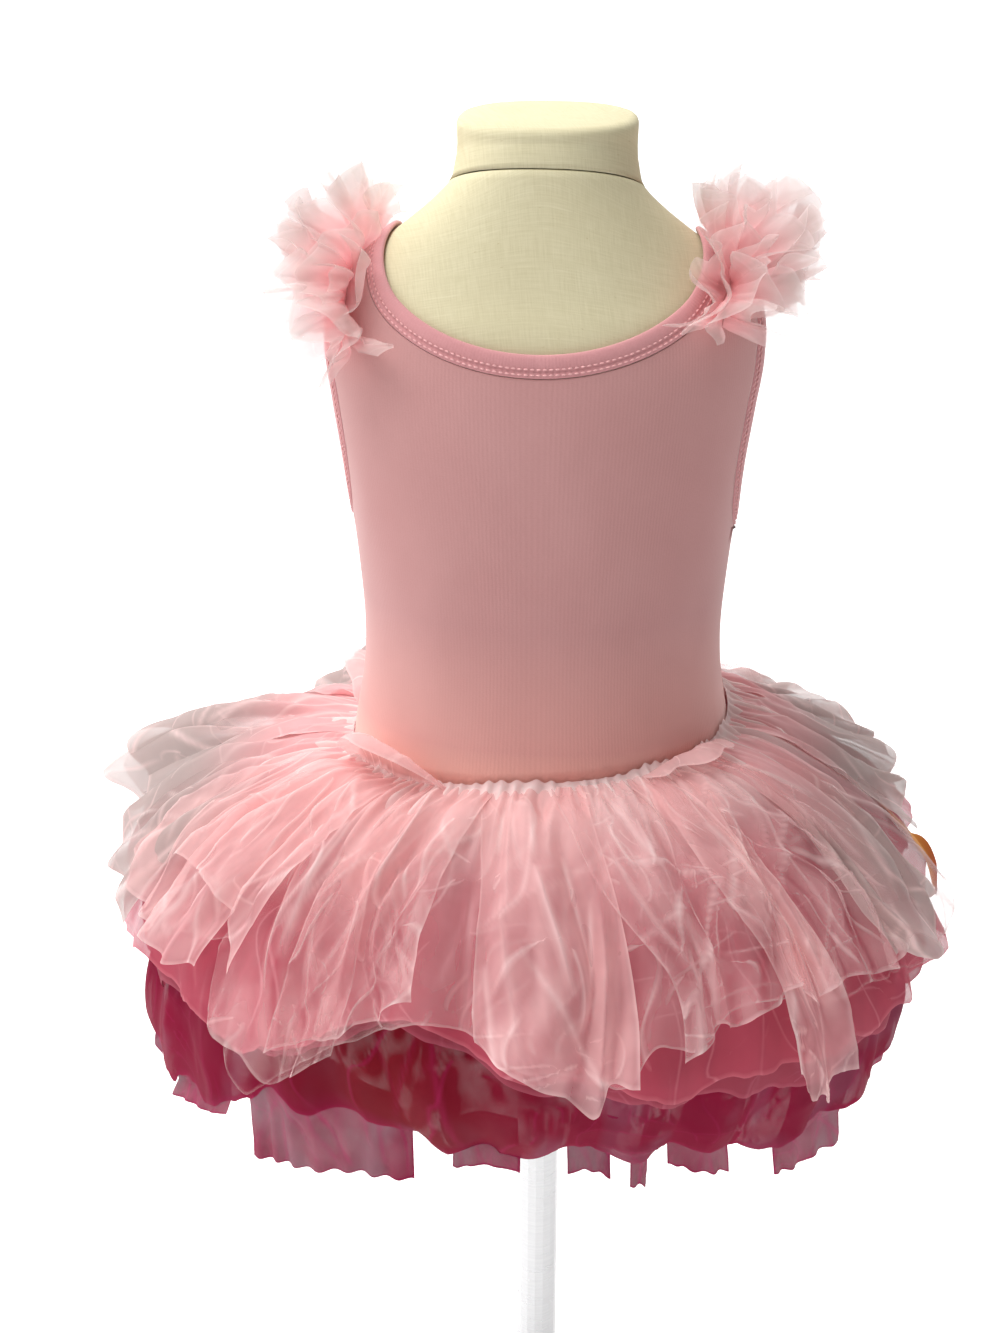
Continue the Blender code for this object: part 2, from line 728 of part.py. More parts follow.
def moved_off(points, distance):
    """A closed wall's points moved along its normals; positive is outwards."""
    around = np.roll(points, -1, axis=1) - np.roll(points, 1, axis=1)
    down = np.gradient(points, axis=0)
    return points + distance * unit(np.cross(down, around))


def build_skirt(collection):
    slots = ("tulle_pale", "tulle_pale", "tulle_rose", "tulle_magenta")
    for order, (name, _, _, _, columns, rows) in enumerate(SKIRT_LAYERS):
        points = layer_points(order, columns, rows)[::-1]
        add_sheet(name, points, TULLE, slots[order], collection, closed=True)


def build_strips(collection):
    """Strips that start inside the magenta layer, 0.3 mm from it, and hang past its hem."""
    order = 3
    columns, rows = SKIRT_LAYERS[order][4:]
    layer = moved_off(layer_points(order, columns, rows), -(TULLE + SEAM_GAP + CREASE_ROOM))
    outwards = unit((layer[-1] - layer[-1].mean(axis=0)) * np.array([1.0, 1.0, 0.0]))
    for index, (first, wide, length, push) in enumerate(MAGENTA_STRIPS):
        picks = (first + np.arange(wide + 1)) % columns
        across = np.linspace(0, 1, wide + 1)[:, None]
        lowest = layer[-1, picks]
        straight = (1 - across) * lowest[0] + across * lowest[-1]
        hung = [layer[-2, picks], lowest]
        for step in range(1, STRIP_ROWS + 1):
            s = step / STRIP_ROWS
            point = lowest + (straight - lowest) * STRIP_FLATTENS * s
            point = point + outwards[picks] * push * s
            point[:, 2] -= length * s * (1 + STRIP_UNEVEN * np.sin(3.0 * across[:, 0] + index))
            hung.append(point)
        name = f"magenta_strip_{index + 1:02d}"
        add_sheet(name, np.array(hung)[::-1], TULLE, "tulle_magenta", collection)


def build_petal(collection):
    """A small petal on the middle layer, 0.3 mm over it, whose tip stands past the hem."""
    order = 1
    columns, rows = SKIRT_LAYERS[order][4:]
    beyond = (PETAL_LENGTH / 2, PETAL_LENGTH)
    room = TULLE + SEAM_GAP + CREASE_ROOM
    layer = moved_off(layer_points(order, columns, rows, beyond), room)
    picks = (PETAL_COLUMN + np.arange(PETAL_WIDTH + 1)) % columns
    patch = layer[rows - 1 :, picks]
    middle = patch.mean(axis=1, keepdims=True)
    patch = middle + (patch - middle) * np.array(PETAL_TAPER)[:, None, None]
    add_sheet("petal_right", patch[::-1], TULLE, "petal_orange", collection)


# ---------------------------------------------------------------- everything


def main():
    for old in list(bpy.data.objects):
        bpy.data.objects.remove(old, do_unlink=True)
    collection = bpy.data.collections.new("ballet_tutu")
    bpy.context.scene.collection.children.link(collection)
    build_form(collection)
    build_stand(collection)
    build_bodice(collection)
    build_frills(collection)
    build_skirt(collection)
    build_strips(collection)
    build_petal(collection)


main()
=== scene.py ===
"""Looks of the child's ballet tutu on its dress form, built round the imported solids.

Metres, +Z up, -Y is the near side. An angle round the garment is 0 at the near side and grows
towards +X. A height on the body is measured from the waist seam. On a piece of cloth t runs
across it and s or share down it, both from 0 to 1, while u and down are metres on the flat cloth.
"""

import math

import bpy
import numpy as np
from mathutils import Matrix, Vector


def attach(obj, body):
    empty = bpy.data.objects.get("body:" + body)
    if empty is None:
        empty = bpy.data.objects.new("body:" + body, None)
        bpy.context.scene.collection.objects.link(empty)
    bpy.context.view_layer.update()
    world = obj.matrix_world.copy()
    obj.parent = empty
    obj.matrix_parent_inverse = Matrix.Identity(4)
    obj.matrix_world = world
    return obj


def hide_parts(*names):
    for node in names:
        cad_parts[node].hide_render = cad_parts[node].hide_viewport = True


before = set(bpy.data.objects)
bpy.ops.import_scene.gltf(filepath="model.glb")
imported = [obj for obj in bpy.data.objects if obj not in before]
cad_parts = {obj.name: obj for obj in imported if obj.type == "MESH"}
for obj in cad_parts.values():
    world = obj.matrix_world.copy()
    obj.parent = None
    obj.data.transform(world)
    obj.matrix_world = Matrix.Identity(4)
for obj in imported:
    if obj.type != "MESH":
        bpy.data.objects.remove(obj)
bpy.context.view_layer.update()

# ---------------------------------------------------------------- the garment's sizes

WAIST_Z = 0.620
QUARTER = math.pi / 2
FULL_TURN = 2 * math.pi
SEAM_GAP = 0.0003

# Dress form, one row for each level: height, half_width, near_depth, far_depth
BODY_SECTIONS = (
    (-0.100, 0.1030, 0.0835, 0.0850), (-0.050, 0.1032, 0.0825, 0.0850),
    (0.000, 0.0998, 0.0795, 0.0815), (0.035, 0.0942, 0.0750, 0.0765),
    (0.065, 0.0928, 0.0735, 0.0745), (0.100, 0.0948, 0.0745, 0.0750),
    (0.130, 0.0980, 0.0760, 0.0760), (0.160, 0.1020, 0.0770, 0.0765),
    (0.190, 0.1065, 0.0760, 0.0750), (0.215, 0.1090, 0.0725, 0.0710),
    (0.235, 0.1062, 0.0660, 0.0640), (0.250, 0.0970, 0.0590, 0.0570),
    (0.262, 0.0842, 0.0530, 0.0510), (0.272, 0.0700, 0.0485, 0.0465),
    (0.281, 0.0575, 0.0455, 0.0440), (0.290, 0.0480, 0.0435, 0.0420),
    (0.300, 0.0450, 0.0415, 0.0405), (0.330, 0.0440, 0.0405, 0.0400),
)
SQUARENESS = 0.86
NECK_SEAM = 0.290
NECK_TILT = 0.018
NECK_DEPTH = 0.0435
TILT_FROM = 0.245
NECK_TOP = 0.322
FORM_BOTTOM = -0.100

CLOTH_GAP = 0.0012
JERSEY = 0.0013
TULLE = 0.0010
BAND_WIDTH = 0.0110
WAIST_TILT = 0.090
NECKLINE_NEAR = 0.2260
NECKLINE_FAR = 0.2340
NECKLINE_TOP = 0.2705
NECKLINE_POWER = 1.75
ARMHOLE_LOW = 0.1290
ARMHOLE_HIGH = 0.2430
ARMHOLE_SPREAD = math.radians(15.0)

# The line on the strap that the frills are gathered to: angle, height
STRAP_LINE = (
    (54.0, 0.220), (62.0, 0.236), (74.0, 0.2500), (90.0, 0.2568), (106.0, 0.2500), (118.0, 0.236),
    (126.0, 0.222),
)

# Skirt: a layer leaves the seam level and swells round a pivot ring below the seam. Puff is its
# distance from that ring where it is level with it, hem the angle above the ring where it ends,
# and flare pushes the magenta layer further out below the ring.
PIVOT_DROP = 0.118
LAYER_DROP = 0.0030
PUFF_POWER = 1.5
FLARE_ANGLE = math.radians(30.0)
SKIRT_FOLDS = 24
FOLD_AT_SEAM = 0.0010
FOLD_AT_HEM = 0.0062
FOLD_GROWTH = 1.3
FLARE_POWER = 1.3

# angle, sag
SKIRT_SAG = (
    (-180, 0.020), (-142, 0.002), (-124, 0.030), (-107, 0.013), (-85, 0.006), (-40, 0.004),
    (0, 0.004), (40, 0.006), (75, 0.012), (100, 0.025), (125, 0.034), (155, 0.034),
)
# angle, puff, hem; the magenta layer has its flare too
TOP_LAYER = (
    (-180, 0.162, 12), (-160, 0.150, 22), (-142, 0.136, 42), (-124, 0.148, 30), (-107, 0.198, 23),
    (-90, 0.152, 19), (-80, 0.142, 16), (-66, 0.127, 8), (-50, 0.122, 5), (-33, 0.127, -8),
    (-23, 0.121, 7), (-11, 0.124, 20), (4, 0.122, 6), (10, 0.122, 3), (20, 0.122, 4),
    (28, 0.124, 18), (42, 0.134, 19), (58, 0.133, 15), (76, 0.137, 14), (88, 0.136, 18),
    (100, 0.138, 24), (118, 0.162, 20), (135, 0.174, 22), (155, 0.175, 18),
)
MIDDLE_LAYER = (
    (-180, 0.150, 0), (-142, 0.122, 18), (-124, 0.136, 12), (-106, 0.160, 7), (-92, 0.143, -1),
    (-78, 0.131, 0), (-62, 0.114, 2), (-40, 0.114, 0), (-14, 0.112, 17), (2, 0.110, 7),
    (16, 0.110, 1), (32, 0.115, 4), (50, 0.120, 1), (66, 0.119, 0), (80, 0.123, 2), (100, 0.126, 9),
    (120, 0.150, 4), (150, 0.160, 1),
)
LOWER_LAYER = (
    (-180, 0.138, -10), (-140, 0.110, 4), (-122, 0.124, -2), (-106, 0.136, -6), (-80, 0.120, -10),
    (-60, 0.103, -4), (-38, 0.102, -4), (-13, 0.101, 12), (2, 0.099, 1), (17, 0.099, -5),
    (35, 0.105, -9), (50, 0.108, -12), (64, 0.108, -12), (82, 0.112, -8), (100, 0.115, -1),
    (120, 0.137, -6), (150, 0.147, -10),
)
MAGENTA_LAYER = (
    (-180, 0.126, -32, 0.012), (-158, 0.112, -30, 0.014), (-140, 0.098, -27, 0.016),
    (-122, 0.110, -28, 0.018), (-106, 0.121, -26, 0.026), (-92, 0.115, -27, 0.033),
    (-72, 0.101, -36, 0.034), (-55, 0.091, -32, 0.034), (-40, 0.089, -24, 0.026),
    (-25, 0.088, -34, 0.010), (-12, 0.087, -50, 0.011), (0, 0.087, -46, 0.014),
    (12, 0.086, -52, 0.014), (26, 0.086, -50, 0.017), (40, 0.089, -46, 0.021),
    (52, 0.093, -43, 0.024), (63, 0.095, -39, 0.026), (75, 0.097, -33, 0.024),
    (88, 0.100, -26, 0.022), (104, 0.104, -26, 0.018), (125, 0.120, -28, 0.014),
    (150, 0.127, -30, 0.012),
)
LAYERS = (TOP_LAYER, MIDDLE_LAYER, LOWER_LAYER, MAGENTA_LAYER)
TOP, MIDDLE, LOWER, DEEPEST = range(4)
# A layer's own folds: how many, and how deep
OWN_FOLDS = ((17, 0.0016), (19, 0.0012), (15, 0.0012), (13, 0.0012))

# ---------------------------------------------------------------- curves and noise


def hermite(position, places, values):
    """A smooth curve through the values."""
    places = np.asarray(places, float)
    values = np.asarray(values, float)
    slopes = np.gradient(values, places)
    position = np.clip(position, places[0], places[-1])
    step = np.clip(np.searchsorted(places, position, side="right") - 1, 0, len(places) - 2)
    span = places[step + 1] - places[step]
    t = (position - places[step]) / span
    start = (1 + 2 * t) * (1 - t) ** 2 * values[step] + t * (1 - t) ** 2 * span * slopes[step]
    end = t**2 * (3 - 2 * t) * values[step + 1] + t**2 * (t - 1) * span * slopes[step + 1]
    return start + end


def round_table(table, column, angle):
    """A column of a table that is read all the way round; angle is in radians."""
    rows = [(row[0] + turn, row[column]) for turn in (-360, 0, 360) for row in table]
    turned = np.mod(np.degrees(angle) + 180.0, 360.0) - 180.0
    return hermite(turned, *zip(*rows))


def ease(value):
    t = np.clip(value, 0.0, 1.0)
    return t * t * (3 - 2 * t)


def bell(distance, width):
    """A soft peak that is 1 where the distance is 0."""
    return np.exp(-((distance / width) ** 2))


def unit(vectors):
    return vectors / np.maximum(np.linalg.norm(vectors, axis=-1, keepdims=True), 1e-12)


def evened(vectors, passes=40):
    """Directions along a line, each averaged with its neighbours."""
    for _ in range(passes):
        padded = np.concatenate([vectors[:1], vectors, vectors[-1:]])
        vectors = (padded[:-2] + 2 * vectors + padded[2:]) / 4
    return unit(vectors)


def noise(x, y, seed, period=0):
    """Smooth noise from -1 to 1 on a lattice of unit cells; period repeats it in x."""
    size = 256
    lattice = np.random.default_rng(seed).uniform(-1, 1, (size, size))
    wrap = period or size
    left, low = np.floor(x).astype(int), np.floor(y).astype(int)
    fx, fy = ease(x - left), ease(y - low)
    a, b, c, d = (
        lattice[(left + right) % wrap % size, (low + up) % size]
        for up in (0, 1) for right in (0, 1)
    )
    return (a * (1 - fx) + b * fx) * (1 - fy) + (c * (1 - fx) + d * fx) * fy


def turns(steps):
    """Angles all the way round, in radians."""
    return np.arange(steps) * FULL_TURN / steps


def across_and_down(columns, rows):
    """Places across and down a piece of cloth, from 0 to 1."""
    return np.linspace(0, 1, columns)[None, :], np.linspace(0, 1, rows + 1)[:, None]


def run_down(points):
    """Distance down each column of a grid of points, or along a line of them."""
    step = np.linalg.norm(np.diff(points, axis=0), axis=-1)
    return np.concatenate([np.zeros_like(step[:1]), np.cumsum(step, axis=0)])


# ---------------------------------------------------------------- the body's surface


def on_form(angle, height):
    """The dress form's surface, in world coordinates."""
    levels, *sections = zip(*BODY_SECTIONS)
    half_width, near, far = (hermite(height, levels, section) for section in sections)
    sine, cosine = np.sin(angle), np.cos(angle)
    depth = np.where(cosine >= 0, near, far)
    tilt = NECK_TILT * ease((height - TILT_FROM) / (NECK_SEAM - TILT_FROM))
    x = half_width * np.sign(sine) * np.abs(sine) ** SQUARENESS
    y = -depth * np.sign(cosine) * np.abs(cosine) ** SQUARENESS
    z = WAIST_Z + height - tilt * y / NECK_DEPTH
    return np.stack([x, y, z], axis=-1)


def slopes(angle, height):
    """How a point of the form moves with its angle and with its height."""
    turn, rise = 0.004, 0.0008
    round_it = (on_form(angle + turn, height) - on_form(angle - turn, height)) / (2 * turn)
    up_it = (on_form(angle, height + rise) - on_form(angle, height - rise)) / (2 * rise)
    return round_it, up_it


def outward(angle, height):
    return unit(np.cross(*slopes(angle, height)))


def on_body(angle, height, offset):
    """A point that stands off the form; offset is one number, or one for each point."""
    offset = np.asarray(offset, float)[..., None]
    return on_form(angle, height) + offset * outward(angle, height)


def level_out(angle):
    """The level direction away from the garment's middle."""
    return np.stack([np.sin(angle), -np.cos(angle), np.zeros_like(angle)], axis=-1)


def slide(angle, height, direction, distance):
    """Moves along the form's surface in a direction given in space."""
    round_it, up_it = slopes(angle, height)
    a = np.sum(round_it * round_it, axis=-1)
    b = np.sum(round_it * up_it, axis=-1)
    c = np.sum(up_it * up_it, axis=-1)
    p = np.sum(round_it * direction, axis=-1) * distance
    q = np.sum(up_it * direction, axis=-1) * distance
    det = a * c - b * b
    return angle + (c * p - b * q) / det, height + (a * q - b * p) / det


def offset_loop(angle, height, distance, steps=4):
    """A closed line on the body moved sideways along the surface."""
    for _ in range(steps):
        points = on_form(angle, height)
        along = unit(np.roll(points, -1, axis=0) - np.roll(points, 1, axis=0))
        across = unit(np.cross(outward(angle, height), along))
        angle, height = slide(angle, height, across, distance / steps)
    return angle, height


def waist_height(angle):
    """The waist seam rises a little towards +X."""
    return WAIST_TILT * on_form(angle, np.zeros_like(angle))[..., 0]


def neckline(steps):
    angle = turns(steps)
    low = np.where(np.cos(angle) >= 0, NECKLINE_NEAR, NECKLINE_FAR)
    return angle, low + (NECKLINE_TOP - low) * np.abs(np.sin(angle)) ** NECKLINE_POWER


def armhole(steps):
    turn = turns(steps)
    middle = (ARMHOLE_LOW + ARMHOLE_HIGH) / 2
    half = (ARMHOLE_HIGH - ARMHOLE_LOW) / 2
    return QUARTER - ARMHOLE_SPREAD * np.sin(turn), middle - half * np.cos(turn)


# ---------------------------------------------------------------- mesh helpers

SCENE = bpy.context.scene
MIRRORED = np.array([-1.0, 1.0, 1.0])
SIZES_A_METRE = 200  # a cut size is told to the nearest 5 mm


def grid_faces(rows, columns, closed):
    """The faces of a grid of points; a closed grid's rows run on into their start."""
    row, here = np.meshgrid(
        np.arange(rows - 1), np.arange(columns if closed else columns - 1), indexing="ij"
    )
    here, low = here.ravel(), row.ravel() * columns
    after, high = (here + 1) % columns, low + columns
    return np.stack([low + here, low + after, high + after, high + here], axis=1).tolist()


def add_mesh(name, points, faces, material, uv=None, values=None):
    """A smooth mesh that rides on the one body; values are named numbers for each point."""
    mesh = bpy.data.meshes.new(name)
    mesh.from_pydata(points.tolist(), [], faces)
    mesh.shade_smooth()
    for key, value in (values or {}).items():
        numbers = mesh.attributes.new(key, "FLOAT", "POINT").data
        numbers.foreach_set("value", np.asarray(value, np.float32).ravel())
    if uv is not None:
        corner = np.zeros(len(mesh.loops), np.int32)
        mesh.loops.foreach_get("vertex_index", corner)
        layer = mesh.uv_layers.new(name="flat")
        layer.data.foreach_set("uv", uv[corner].astype(np.float32).ravel())
    mesh.materials.append(material)
    made = bpy.data.objects.new(name, mesh)
    SCENE.collection.objects.link(made)
    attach(made, "root")
    return made


def cut_size(points, closed):
    """The widest row and the longest column of a cloth, laid flat."""
    across = points.swapaxes(0, 1)
    if closed:
        across = np.concatenate([across, across[:1]])
    sizes = (run_down(across)[-1].max(), run_down(points)[-1].max())
    return [round(size * SIZES_A_METRE) / SIZES_A_METRE for size in sizes]


def add_cloth(name, points, material, uv, values=None, closed=False, node=None):
    """A sheet through a grid of points (rows, columns, 3); it may stand for a CAD node."""
    cut_size(points, closed)
    flat_uv = np.stack(uv, axis=-1).reshape(-1, 2)
    faces = grid_faces(*points.shape[:2], closed)
    made = add_mesh(name, points.reshape(-1, 3), faces, material, flat_uv, values)
    if node:
        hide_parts(node)
    return made


def grid_normals(points, closed):
    """Normals of a grid of points whose rows run outwards or down; they point out of the cloth."""
    if closed:
        around = np.roll(points, -1, axis=1) - np.roll(points, 1, axis=1)
    else:
        around = np.gradient(points, axis=1)
    return unit(np.cross(np.gradient(points, axis=0), around))


def moved_out(points, distance, closed=False):
    """A grid of points moved along its normals."""
    return points + grid_normals(points, closed) * distance[..., None]


# ---------------------------------------------------------------- materials


class Nodes:
    """Short calls for the nodes of one material; place is where on the cloth, or in space."""

    def __init__(self, name, on_cloth=True):
        self.material = bpy.data.materials.new(name)
        self.material.use_nodes = True
        self.tree = self.material.node_tree
        self.tree.nodes.clear()
        if on_cloth:
            self.place = self.node("UVMap", uv_map="flat").outputs[0]
        else:
            self.place = self.node("TexCoord").outputs["Object"]

    def node(self, kind, inputs=None, **settings):
        """A shader node; each input is a number, a colour, a socket or a node."""
        made = self.tree.nodes.new("ShaderNode" + kind)
        for key, value in settings.items():
            setattr(made, key, value)
        for key, value in (inputs or {}).items():
            if isinstance(value, bpy.types.Node):
                value = value.outputs[0]
            if isinstance(value, bpy.types.NodeSocket):
                self.tree.links.new(value, made.inputs[key])
            else:
                made.inputs[key].default_value = value
        return made

    def math(self, operation, a, b=0.0, clamp=False):
        return self.node("Math", {0: a, 1: b}, operation=operation, use_clamp=clamp)

    def ramp(self, value, low, high, to_low=0.0, to_high=1.0):
        return self.node("MapRange", {0: value, 1: low, 2: high, 3: to_low, 4: to_high})

    def mix(self, factor, a, b):
        return self.node("Mix", {0: factor, 6: a, 7: b}, data_type="RGBA").outputs[2]

    def attribute(self, name):
        return self.node("Attribute", attribute_name=name).outputs["Fac"]

    def grain(self, cells, detail=2.0, roughness=0.5):
        """Noise with so many cells a metre in each direction."""
        place = self.node("VectorMath", {0: self.place, 1: cells}, operation="MULTIPLY")
        inputs = {"Vector": place, "Scale": 1.0, "Detail": detail, "Roughness": roughness}
        return self.node("TexNoise", inputs).outputs[0]

    def bump(self, height, strength, distance=0.0003):
        return self.node("Bump", {"Height": height, "Strength": strength, "Distance": distance})

    def cloth(self, tint, roughness, gloss, **more):
        """The main shader; an input's name is told with _ for each space."""
        inputs = {"Base Color": tint, "Roughness": roughness, "Specular IOR Level": gloss}
        inputs.update({key.replace("_", " "): value for key, value in more.items()})
        return self.node("BsdfPrincipled", inputs)

    def surface(self, shader):
        self.node("OutputMaterial", {"Surface": shader})
        return self.material


def colour(red, green, blue):
    """A linear colour from the 0 to 255 numbers of an ordinary colour picker."""

    def linear(value):
        value /= 255
        return value / 12.92 if value <= 0.04045 else ((value + 0.055) / 1.055) ** 2.4

    return (linear(red), linear(green), linear(blue), 1.0)


# Pale lines on the crests of crumpled net: the attribute that tells how far a crest is, the
# line's half width and strength, and where on "shown" such lines are gone and are whole
NET_LINES = (
    ("ridge", 0.0017, 1.0, -0.25, 0.30),
    ("ridge_fine", 0.0012, 0.75, 0.0, -0.35),
    ("ridge_cross", 0.0012, 0.6, -0.25, -0.55),
)
NET_CLOUDS = (34.0, 22.0, 1.0)
VEIL_CLOUDS = (24.0, 13.0, 1.0)


def tulle(name, thread, line, density, through, line_density, patchy, sheen, fine=0.62,
          veiled=None, tip=None):
    """Sheer net.

    thread is its colour and line the paler one of its creases and edges, and of the painted light
    near the waist seam. through is the share of light that it scatters onwards, fine the strength of
    its fine creases, veiled a colour that it has in patches, and tip the colour that it turns to by
    its "tip" attribute, which on the skirt's nets is a painted shade.
    """
    n = Nodes(name)
    shown = n.attribute("shown")
    lines = 0.0
    for ridge, half_width, strength, gone, whole in NET_LINES:
        away = n.math("ABSOLUTE", n.attribute(ridge))
        crest = n.ramp(away, 0.0, half_width, strength, 0.0)
        lines = n.math("MAXIMUM", n.math("MULTIPLY", crest, n.ramp(shown, gone, whole)), lines)
    both = n.math("ADD", n.math("MULTIPLY", lines, fine), n.attribute("crease"), clamp=True)
    cloudy = n.ramp(n.grain(NET_CLOUDS, 3.0), 0.3, 0.7, -patchy, patchy)
    sheer = n.math("ADD", n.math("ADD", cloudy, density), n.math("MULTIPLY", both, line_density))
    sheer = n.math("ADD", sheer, n.attribute("thick"), clamp=True)
    base = colour(*thread)
    if veiled:
        patch = n.ramp(n.grain(VEIL_CLOUDS, 1.5), 0.50, 0.60, 0.0, 0.85)
        base = n.mix(patch, base, colour(*veiled))
    if tip:
        base = n.mix(n.attribute("tip"), base, colour(*tip))
    tint = n.mix(both, base, colour(*line))
    cloth = n.cloth(tint, 0.8, 0.15, Sheen_Weight=sheen, Sheen_Roughness=0.4)
    glow = n.node("BsdfTranslucent", {"Color": tint})
    body = n.node("MixShader", {0: through, 1: cloth, 2: glow})
    return n.surface(n.node("MixShader", {0: sheer, 1: n.node("BsdfTransparent"), 2: body}))


# The skirt's light on the bodice: how far up it reaches (metres), and its colour
SKIRT_GLOW = ((0.085, (250, 184, 172)), (0.018, (255, 200, 182)))


def jersey(name, base, dark, ribs=1.0, low_glow=0.0):
    """Fine knitted jersey whose wales run down the cloth."""
    n = Nodes(name)
    wales = {"Vector": n.place, "Scale": 190.0, "Distortion": 1.2, "Detail": 1.0, "Detail Scale": 3.0}
    rib = n.node("TexWave", wales, wave_type="BANDS", bands_direction="X").outputs[1]
    grain = n.grain((900.0, 1400.0, 1.0))
    height = n.math("ADD", n.math("MULTIPLY", rib, 0.6 * ribs), grain)
    heather = n.math("ADD", n.grain((14.0, 10.0, 1.0), 3.0), n.math("MULTIPLY", grain, 0.35))
    tint = n.mix(n.ramp(heather, 0.35, 1.0), colour(*dark), colour(*base))
    rise = n.node("SeparateXYZ", {0: n.place}).outputs[1]
    for reach, glow in SKIRT_GLOW:
        tint = n.mix(n.ramp(rise, 0.0, reach, low_glow, 0.0), tint, colour(*glow))
    return n.surface(
        n.cloth(tint, 0.82, 0.2, Sheen_Weight=0.30, Sheen_Roughness=0.5, Normal=n.bump(height, 0.22))
    )


# Marks in the linen: cells a metre, detail, where in the noise they start and end, strength, colour
LINEN_MARKS = (
    ((36.0, 620.0, 1.0), 2.0, 0.62, 0.72, 0.30, (228, 221, 194)),
    ((260.0, 700.0, 1.0), 1.0, 0.74, 0.80, 0.45, (176, 158, 112)),
    ((16.0, 16.0, 1.0), 2.0, 0.35, 0.75, 0.22, (196, 184, 148)),
)


def linen(name):
    """Plain-weave linen with slubs, flecks and stains."""
    n = Nodes(name)
    warp = n.grain((1500.0, 70.0, 1.0), 3.0, 0.6)
    weft = n.grain((60.0, 1400.0, 1.0), 3.0, 0.6)
    height = n.math("ADD", warp, weft)
    tint = n.mix(n.ramp(height, 0.70, 1.30), colour(204, 195, 159), colour(219, 211, 179))
    for cells, detail, start, end, strength, mark in LINEN_MARKS:
        share = n.ramp(n.grain(cells, detail), start, end, 0.0, strength)
        tint = n.mix(share, tint, colour(*mark))
    return n.surface(n.cloth(tint, 0.9, 0.15, Normal=n.bump(height, 0.25)))


def metal(name):
    """Satin steel with fine brush marks."""
    n = Nodes(name, on_cloth=False)
    brush = n.grain((40.0, 40.0, 900.0), 3.0)
    tint = n.mix(brush, colour(196, 196, 198), colour(222, 222, 222))
    rough = n.ramp(brush, 0.3, 0.7, 0.26, 0.42)
    return n.surface(n.cloth(tint, rough, 0.5, Metallic=0.85, Normal=n.bump(brush, 0.1, 0.0002)))


def sewing_thread(name, base):
    n = Nodes(name, on_cloth=False)
    dark = tuple(0.85 * c for c in base[:3]) + (1.0,)
    return n.surface(n.cloth(n.mix(n.grain((900.0, 900.0, 900.0), 1.0), dark, base), 0.8, 0.5))


def petal_cloth(name):
    """Orange at the root, yellow in the middle and red at the tip."""
    n = Nodes(name)
    tip = n.attribute("tip")
    tint = n.mix(n.ramp(tip, 0.1, 0.6), colour(214, 96, 40), colour(224, 150, 52))
    tint = n.mix(n.ramp(tip, 0.62, 0.95), tint, colour(176, 40, 44))
    return n.surface(n.cloth(tint, 0.7, 0.5, Normal=n.bump(n.grain((900.0, 900.0, 1.0)), 0.3)))


LINEN = linen("linen_weave")
METAL = metal("satin_steel")
JERSEY_CLOTH = jersey("jersey", (202, 152, 150), (190, 137, 135), low_glow=0.55)
BINDING = jersey("binding_jersey", (212, 154, 156), (198, 136, 138), ribs=1.4)
THREAD = sewing_thread("sewing_thread", colour(240, 184, 184))
PETAL = petal_cloth("petal_cloth")

GREY_SHADE_TIP = (198, 180, 176)  # painted shade: the grey of single net, far from the pink layers
#  name, thread, line, density, through, line_density, patchy, sheen
PALE = tulle(
    "pale_tulle", (255, 212, 212), (255, 238, 235), 0.08, 0.36, 0.52, 0.10, 0.10, tip=GREY_SHADE_TIP
)
PALE_DENSE = tulle(
    "pale_tulle_double", (255, 213, 212), (255, 236, 233), 0.37, 0.36, 0.42, 0.14, 0.10
)
PALE_INNER = tulle(
    "pale_tulle_inner", (208, 90, 110), (240, 158, 170), 0.76, 0.30, 0.12, 0.10, 0.10
)
WING = tulle(
    "wing_tulle", (244, 188, 190), (248, 222, 219), 0.72, 0.30, 0.18, 0.08, 0.25, tip=GREY_SHADE_TIP
)
ROSE = tulle(
    "rose_tulle", (170, 70, 88), (204, 112, 132), 0.90, 0.20, 0.08, 0.06, 0.06, fine=0.4
)
# The magenta's tip colour is a painted shade: deeper crimson where the layers above shade it
MAGENTA = tulle(
    "magenta_tulle", (138, 4, 50), (170, 30, 84), 0.97, 0.15, 0.03, 0.025, 0.03, fine=0.4,
    veiled=(140, 60, 84), tip=(124, 0, 24),
)
MAGENTA_LOOSE = tulle(
    "magenta_strip_tulle", (142, 10, 62), (180, 44, 98), 0.95, 0.20, 0.04, 0.03, 0.04, fine=0.4,
    veiled=(136, 64, 86),
)
FRILL = tulle(
    "frill_tulle", (255, 206, 208), (255, 236, 234), 0.52, 0.40, 0.20, 0.04, 0.25, fine=0.22,
    tip=(226, 210, 206),
)

# ---------------------------------------------------------------- dress form and stand

FORM_SIDES = 144
FORM_LEVELS = 110
WEAVE_SKEW = 0.35  # the weave runs on round the form's sides by this share of their depth
NECK_WEAVE_START = 0.35  # the neck block is cut from another part of the cloth (metres)
SEAM_GROOVE = 0.0005
NECK_LEVELS = (NECK_SEAM, 0.2935, 0.297, 0.300, 0.306, 0.312, 0.318, NECK_TOP)
# Rings drawn in to a share of their size and raised: the form's foot, the groove under the neck
# block, the block's own lower rim and its top
FOOT_RINGS = ((0.0, -0.006), (0.60, -0.006), (0.90, -0.006), (0.955, -0.0045), (0.985, -0.002))
GROOVE_RINGS = ((0.97, 0.0002),)
RIM_RINGS = ((0.96, 0.0),)
TOP_RINGS = ((0.985, 0.0018), (0.955, 0.0030), (0.90, 0.0038), (0.5, 0.0042), (0.0, 0.0042))


def drawn_in(ring, rows, tilt):
    """Copies of a ring, each of a share of its size: level with tilt 0, as tilted as it with 1."""
    middle = ring.mean(axis=0)
    return [middle + (ring - middle) * (share, share, tilt) + (0, 0, rise) for share, rise in rows]


def add_linen(name, points, node, weave_start=0.0):
    u = points[..., 0] + WEAVE_SKEW * points[..., 1]
    v = run_down(points) + weave_start
    add_cloth(name, points, LINEN, (u, v), closed=True, node=node)


